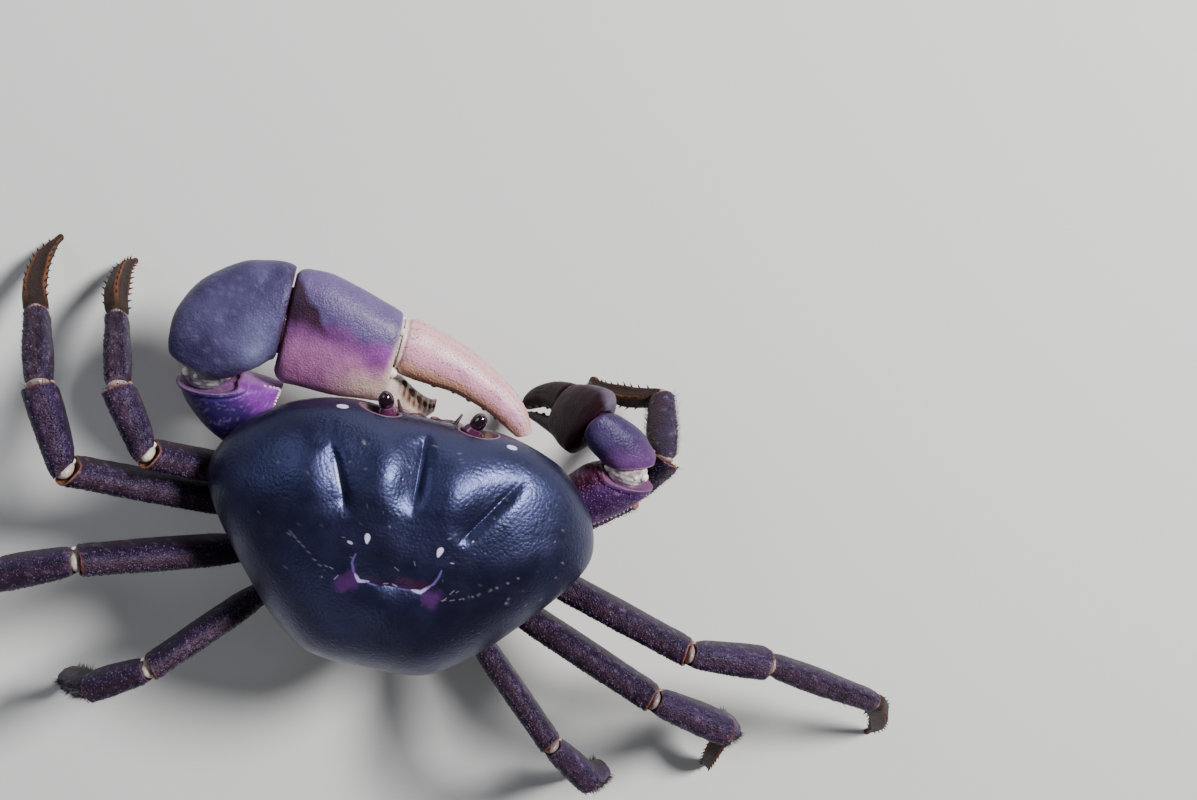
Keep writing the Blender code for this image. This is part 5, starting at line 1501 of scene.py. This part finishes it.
def flap_hollow(points):
    """Presses points away from the tail flap, towards the body."""
    points = points.copy()
    line = np.array(ABDOMEN_LINE)
    start = line[0, :2] + unit(line[0, :2] - line[1, :2]) * 0.4
    line = np.concatenate([[(*start, line[0, 2])], line[1:]])
    best = np.full(len(points), 1e9)
    into = np.zeros((len(points), 2))
    signed = np.zeros(len(points))
    half = np.zeros(len(points))
    for a, b in zip(line, line[1:]):
        d = b[:2] - a[:2]
        normal = unit((-d[1], d[0]))
        normal = normal * np.sign(normal @ (BODY_MIDDLE - a[:2]))
        off = points[:, 1:] - a[:2]
        t = np.clip(off @ d / (d @ d), 0.0, 1.0)
        gap = np.linalg.norm(off - t[:, None] * d, axis=1)
        near = gap < best
        best = np.where(near, gap, best)
        into[near] = normal
        signed = np.where(near, off @ normal, signed)
        half = np.where(near, a[2] + (b[2] - a[2]) * t, half)
    clear = ABDOMEN_THICK + GAP
    inside = (np.abs(points[:, 0]) < half + GAP) & (signed < clear)
    inside &= (best < FLAP_REACH) & (points[:, 1] < FLAP_FRONT_Y) & (points[:, 2] < FLAP_TOP_Z)
    push = np.where(inside, clear - signed, 0.0)
    points[:, 1:] += into * push[:, None]
    return points


def closed_line(corners, per_edge, rounds):
    """Closed line through the corners in even steps, its corners rounded."""
    corners = np.asarray(corners, float)
    after = np.roll(corners, -1, axis=0)
    t = np.arange(per_edge)[None, :, None] / per_edge
    line = (corners[:, None] * (1 - t) + after[:, None] * t).reshape(-1, corners.shape[1])
    for _ in range(rounds):
        line = line * 0.5 + (np.roll(line, 1, axis=0) + np.roll(line, -1, axis=0)) * 0.25
    return line


def towards(ring, share):
    """Ring drawn in towards the sternum's middle at its own level."""
    return np.column_stack([STERNUM_MIDDLE + (ring[:, :2] - STERNUM_MIDDLE) * share, ring[:, 2]])


def sternum():
    """Shield of the underside with the seams between its plates."""
    levels = []
    for z, share, front in STERNUM_LEVELS:
        half = [STERNUM_MIDDLE + (vec(x, y) - STERNUM_MIDDLE) * share
                for x, y in SOCKET_CORNERS + [(0.0, -25.2)]]
        half = [vec(0.0, front), vec(half[0][0] - 2.2, front)] + half
        flat = closed_line(half + [p * (-1, 1) for p in half[-2:0:-1]], 16, 6)
        levels.append(np.column_stack([flat, np.full(len(flat), z)]))
    rings = [towards(levels[0], share) for share in np.linspace(0.02, 1.0, 60)]
    for low, high, count in ((levels[0], levels[1], 8), (levels[1], levels[2], 20)):
        rings += [low + (high - low) * share for share in np.linspace(0.0, 1.0, count + 1)[1:]]
    rings = np.array(rings + [towards(levels[2], share) for share in (0.9, 0.6, 0.3)])
    flat = rings.reshape(-1, 3)
    low = fade(flat[:, 2], 22.6, 24.0)
    lines = [[(2.0, y + 2.4), (9.0, y + 1.6), (x, y)] for x, y in SOCKET_CORNERS[1:-1]]
    seam = np.min([distance_to(np.abs(flat[:, 0]), flat[:, 1], line)[0]
                   for line in lines + [[(0, 9.4), (9.5, 8.2)]]], axis=0)
    seam = np.minimum(seam, 9.0)
    groove = 0.42 * np.exp(-(seam / 0.38) ** 2) - 0.14 * hill(seam, 1.5, 0.9)
    flat[:, 2] += (groove + 0.05 * noise3(flat, 1.3, 22)) * low
    tint = paint(UNDER_PALE, (UNDER_DIM, blotches(flat, 3.2, 23, 0.9, 0.4, -0.2, 0.7) * 0.6),
                 ((82, 50, 62), np.exp(-(seam / 0.3) ** 2) * low * 0.75),
                 ((96, 60, 72), ramp(flat[:, 2], 22.0, 27.0) * 0.7))
    flat = flap_hollow(flat)
    out = (flat - MOUTH_MIDDLE) @ FACE_OUT
    flat = flat - FACE_OUT * np.maximum(out + MOUTH_DEPTH, 0.0)[:, None]
    tint = tint.reshape(rings.shape[:2] + (4,))
    Surface().grid(flat.reshape(rings.shape), tint).build("sternum", "under", "underside_shell")


def abdomen():
    """Tail flap with its segments, seams and fringe of short hairs."""
    line = np.array(ABDOMEN_LINE)
    last = len(line) - 1
    place = np.linspace(0.0, last, last * FLAP_RINGS + 1)

    def heading(s):
        return unit((on_line(line, s + 0.3) - on_line(line, s - 0.3))[:, :2])

    spot = on_line(line, place)
    zero = np.zeros(len(place))
    ahead = heading(place)
    lengths = np.linalg.norm(np.diff(line[:, :2], axis=0), axis=1)
    nearest = np.round(place)
    behind = (place - nearest) * lengths[np.minimum(place.astype(int), last - 1)]
    gap = np.abs(behind)
    joint = (nearest > 0) & (nearest < last)
    share = 1.05 - 0.36 * np.exp(-(gap / 0.34) ** 2) * joint + 0.1 * hill(behind, -0.9, 0.5) * joint
    end = 1.0 - ((place - last + 0.12) / 0.13) ** 3 * (place > last - 0.12)
    share = share * np.sqrt(np.clip(end, 0.05, 1.0))
    outer = np.column_stack([zero, -ahead[:, 1], ahead[:, 0]])
    away = np.column_stack([zero, spot[:, :2] - BODY_MIDDLE])
    outer = outer * np.sign(np.sum(outer * away, axis=1))[:, None]
    wide = (spot[:, 2] * (0.5 + 0.5 * np.minimum(share, 1.0)))[:, None]
    x, y = oval(around(FLAP_SIDES)[None], wide, wide, ABDOMEN_THICK * 1.15 * share[:, None],
                ABDOMEN_THICK * 0.98, FLAP_POWER)
    across = np.abs(x) / np.maximum(spot[:, 2], 0.5)[:, None]
    y = y - 0.2 * hill(across, 0.62, 0.09) * (y > 0.3)
    rows = (np.column_stack([zero, spot[:, :2]])[:, None] + x[..., None] * (1.0, 0.0, 0.0)
            + outer[:, None] * y[..., None])
    blotch = blotches(rows, 2.4, 25, 0.8, 0.4, -0.1, 0.7)
    seam = (np.exp(-(gap / 0.3) ** 2) * joint * 0.8)[:, None]
    surface = Surface()
    surface.grid(rows, paint(UNDER_PALE, (UNDER_DIM, blotch * 0.6),
                             ((74, 44, 58), seam * (y > 0)),
                             ((70, 40, 60), fade(place, 0.3, 2.4)[:, None] * 0.7)))
    for side in (1, -1):
        s = DICE.uniform(0.5, last - 0.1, FLAP_HAIRS)
        p = on_line(line, s)
        feet = np.column_stack([side * p[:, 2] * 0.985, p[:, :2]])
        ways = np.column_stack([np.full(FLAP_HAIRS, side * 1.0), heading(s) * 0.7])
        hairs(surface, feet, ways, 0.5, 1.0)
    surface.build("abdomen", "under", "underside_shell")


def on_face(across, up, out):
    """Points of the face plane."""
    across, up, out = np.broadcast_arrays(across, up, out)
    return (MOUTH_MIDDLE + across[..., None] * vec(1.0, 0.0, 0.0) + up[..., None] * FACE_UP
            + out[..., None] * FACE_OUT)


def maxilliped(side, word):
    """Outer mouthpart of one side: two plates, a jointed palp and fringes of bristles."""
    surface = Surface()
    edge = hill(np.array(PLATE_LEVELS)[:, 1], 0.97, 0.025)[:, None]
    for outline, raised, furrow in ((LOWER_PLATE, 0.0, 6.6), (UPPER_PLATE, 0.1, 99.0)):
        line = closed_line(outline, 12, 5)
        middle = line.mean(axis=0)
        rows = []
        for depth, share in PLATE_LEVELS:
            flat = middle + (line - middle) * share
            sink = 0.28 * hill(flat[:, 0], furrow, 0.45) * (depth > 1.0)
            rows.append(on_face(flat[:, 0] * side, flat[:, 1], depth + raised * (depth > 0) - sink))
        rows = np.array(rows)
        rough = noise3(rows, 1.1, 27)
        rows = rows + FACE_OUT * (0.05 * rough)[..., None]
        blotch = ramp(rough + 0.6 * noise3(rows, 2.6, 28), -0.2, 0.8)
        surface.grid(rows, paint((86, 52, 66), ((126, 94, 98), blotch * 0.6),
                                 ((150, 122, 116), edge * 0.5)))
    s = np.linspace(0.0, 3.0, 60)
    across, up, radius = on_line(PALP_LINE, s).T[..., None]
    pinch = 1.0 - 0.22 * (hill(s, 1.0, 0.1) + hill(s, 2.0, 0.1))
    end = np.sqrt(np.clip(1.0 - ((s - 2.8) / 0.22) ** 2 * (s > 2.8), 0.03, 1.0))
    angle = around(28)
    radius = radius * (pinch * end)[:, None]
    rows = on_face((across + radius * np.cos(angle)) * side, up,
                   0.35 + 1.05 * radius * np.sin(angle))
    surface.grid(rows, paint((112, 74, 82),
                             ((150, 118, 108), ramp(noise3(rows, 1.4, 29), -0.3, 0.6))))
    count = 130
    t = DICE.uniform(0.0, 1.0, count)
    feet = on_face((0.75 + 1.3 * ramp(t, 0.45, 1.0)) * side, -9.0 + 9.6 * t,
                   DICE.uniform(0.4, 1.3, count))
    ways = (vec(-side, 0.0, 0.0) + FACE_OUT * DICE.uniform(0.0, 0.8, count)[:, None]
            + FACE_UP * DICE.uniform(-0.4, 0.4, count)[:, None])
    hairs(surface, feet, ways, 0.5, 1.1)
    count = 40
    feet = on_face((1.1 + DICE.uniform(-0.35, 0.35, count)) * side,
                   -2.0 + DICE.uniform(-0.2, 0.7, count), 0.4 + DICE.uniform(-0.3, 0.3, count))
    ways = -FACE_UP + vec(1.0, 0.0, 0.0) * DICE.uniform(-0.3, 0.3, count)[:, None]
    hairs(surface, feet, ways, 0.8, 1.7)
    surface.build("maxilliped_" + word, "mouth", "mouthparts")


def face_parts():
    """Folded antennules under the front, and the granules of the carapace's front edge."""
    surface = Surface()
    half = spline(CARAPACE_HALF, 600)
    half = half[half[:, 1] > -2.0]
    steps = np.concatenate([[0.0], np.cumsum(np.linalg.norm(np.diff(half, axis=0), axis=1))])
    spot = np.arange(0.3, steps[-1], 0.62)
    x = np.interp(spot, steps, half[:, 0])
    y = np.interp(spot, steps, half[:, 1])
    spots = np.column_stack([x, y, edge_height(y)])
    off = ((spots - ORBIT_MIDDLE) / ORBIT_HALF)[:, [0, 2]]
    spots = spots[np.hypot(*off.T) > 1.12]
    for side in (1, -1):
        feet = spots * (side, 1, 1)
        ways = unit((feet + (0.0, 4.0, 0.0)) * (0.6, 1.0, 0.0))
        size = 0.2 * DICE.uniform(0.75, 1.15, len(feet))
        beads(surface, feet - (0.0, 0.05, 0.0) - ways * 0.06, ways, size, size * 0.8,
              rgb(72, 58, 76), sides=8, steps=4)
        blob(surface, vec(2.7 * side, 22.7, 45.7),
             ((1.7 * side, 0.0, 0.25), (0.0, 0.6, 0.0), (-0.1, 0.0, 0.62)), rgb(58, 28, 40), 20, 12)
        blob(surface, vec(1.5 * side, 23.0, 44.9),
             ((1.1 * side, 0.0, -0.3), (0.0, 0.4, 0.0), (0.1, 0.0, 0.4)), rgb(90, 56, 60), 16, 10)
    surface.build("face_parts", "mouth", "mouthparts", extra=True)


MATERIALS = {
    "carapace": shell("carapace_shell", 0.38, grain=0.8, grain_depth=0.052, pits=2.2, mottle=0.2,
                      tint=(0.40, 0.46, 1.0), shine=0.95, pit=0.9),
    "under": shell("underside_shell", 0.5, grain=0.8, grain_depth=0.05, mottle=0.2),
    "mouth": shell("mouth_shell", 0.42, grain=0.5, grain_depth=0.07, mottle=0.25),
    "arm": shell("arm_shell", 0.42, grain=0.6, grain_depth=0.08, mottle=0.2, speck=0.12,
                 tint=(0.66, 0.7, 1.0), shine=0.26),
    "palm": shell("palm_shell", 0.44, grain=0.5, grain_depth=0.085, mottle=0.14, speck=0.18,
                  coat=0.02, soft=0.08, shine=0.34),
    "small_palm": shell("small_palm_shell", 0.5, grain=0.5, grain_depth=0.085, mottle=0.14,
                        speck=0.18, tint=(1.0, 0.66, 0.84), shine=0.1),
    "finger": shell("finger_shell", 0.38, grain=0.55, grain_depth=0.1, mottle=0.12, speck=0.12,
                    coat=0.06, soft=0.1),
    "leg": shell("leg_shell", 0.44, grain=0.5, grain_depth=0.16, mottle=0.34, speck=0.3,
                 tint=(0.74, 0.7, 1.0), shine=0.24),
    "tip": shell("leg_tip_shell", 0.56, grain=0.45, grain_depth=0.2, mottle=0.34, speck=0.3,
                 tint=(1.0, 0.8, 0.68), shine=0.2),
    "skin": shell("joint_skin", 0.36, grain=0.9, grain_depth=0.12, mottle=0.22, soft=0.12),
    "eye": shell("eye_shell", 0.12, grain=0.3, grain_depth=0.01, mottle=0.1, coat=0.8)}

set_camera()
set_studio()
carapace()
claws()
for leg_name in LEGS:
    leg(leg_name)
for side, word in ((1, "right"), (-1, "left")):
    eye(side, word)
    antenna(side, word)
    maxilliped(side, word)
sternum()
abdomen()
face_parts()
JOINTS.build("joint_skins", "skin", "underside_shell", extra=True)
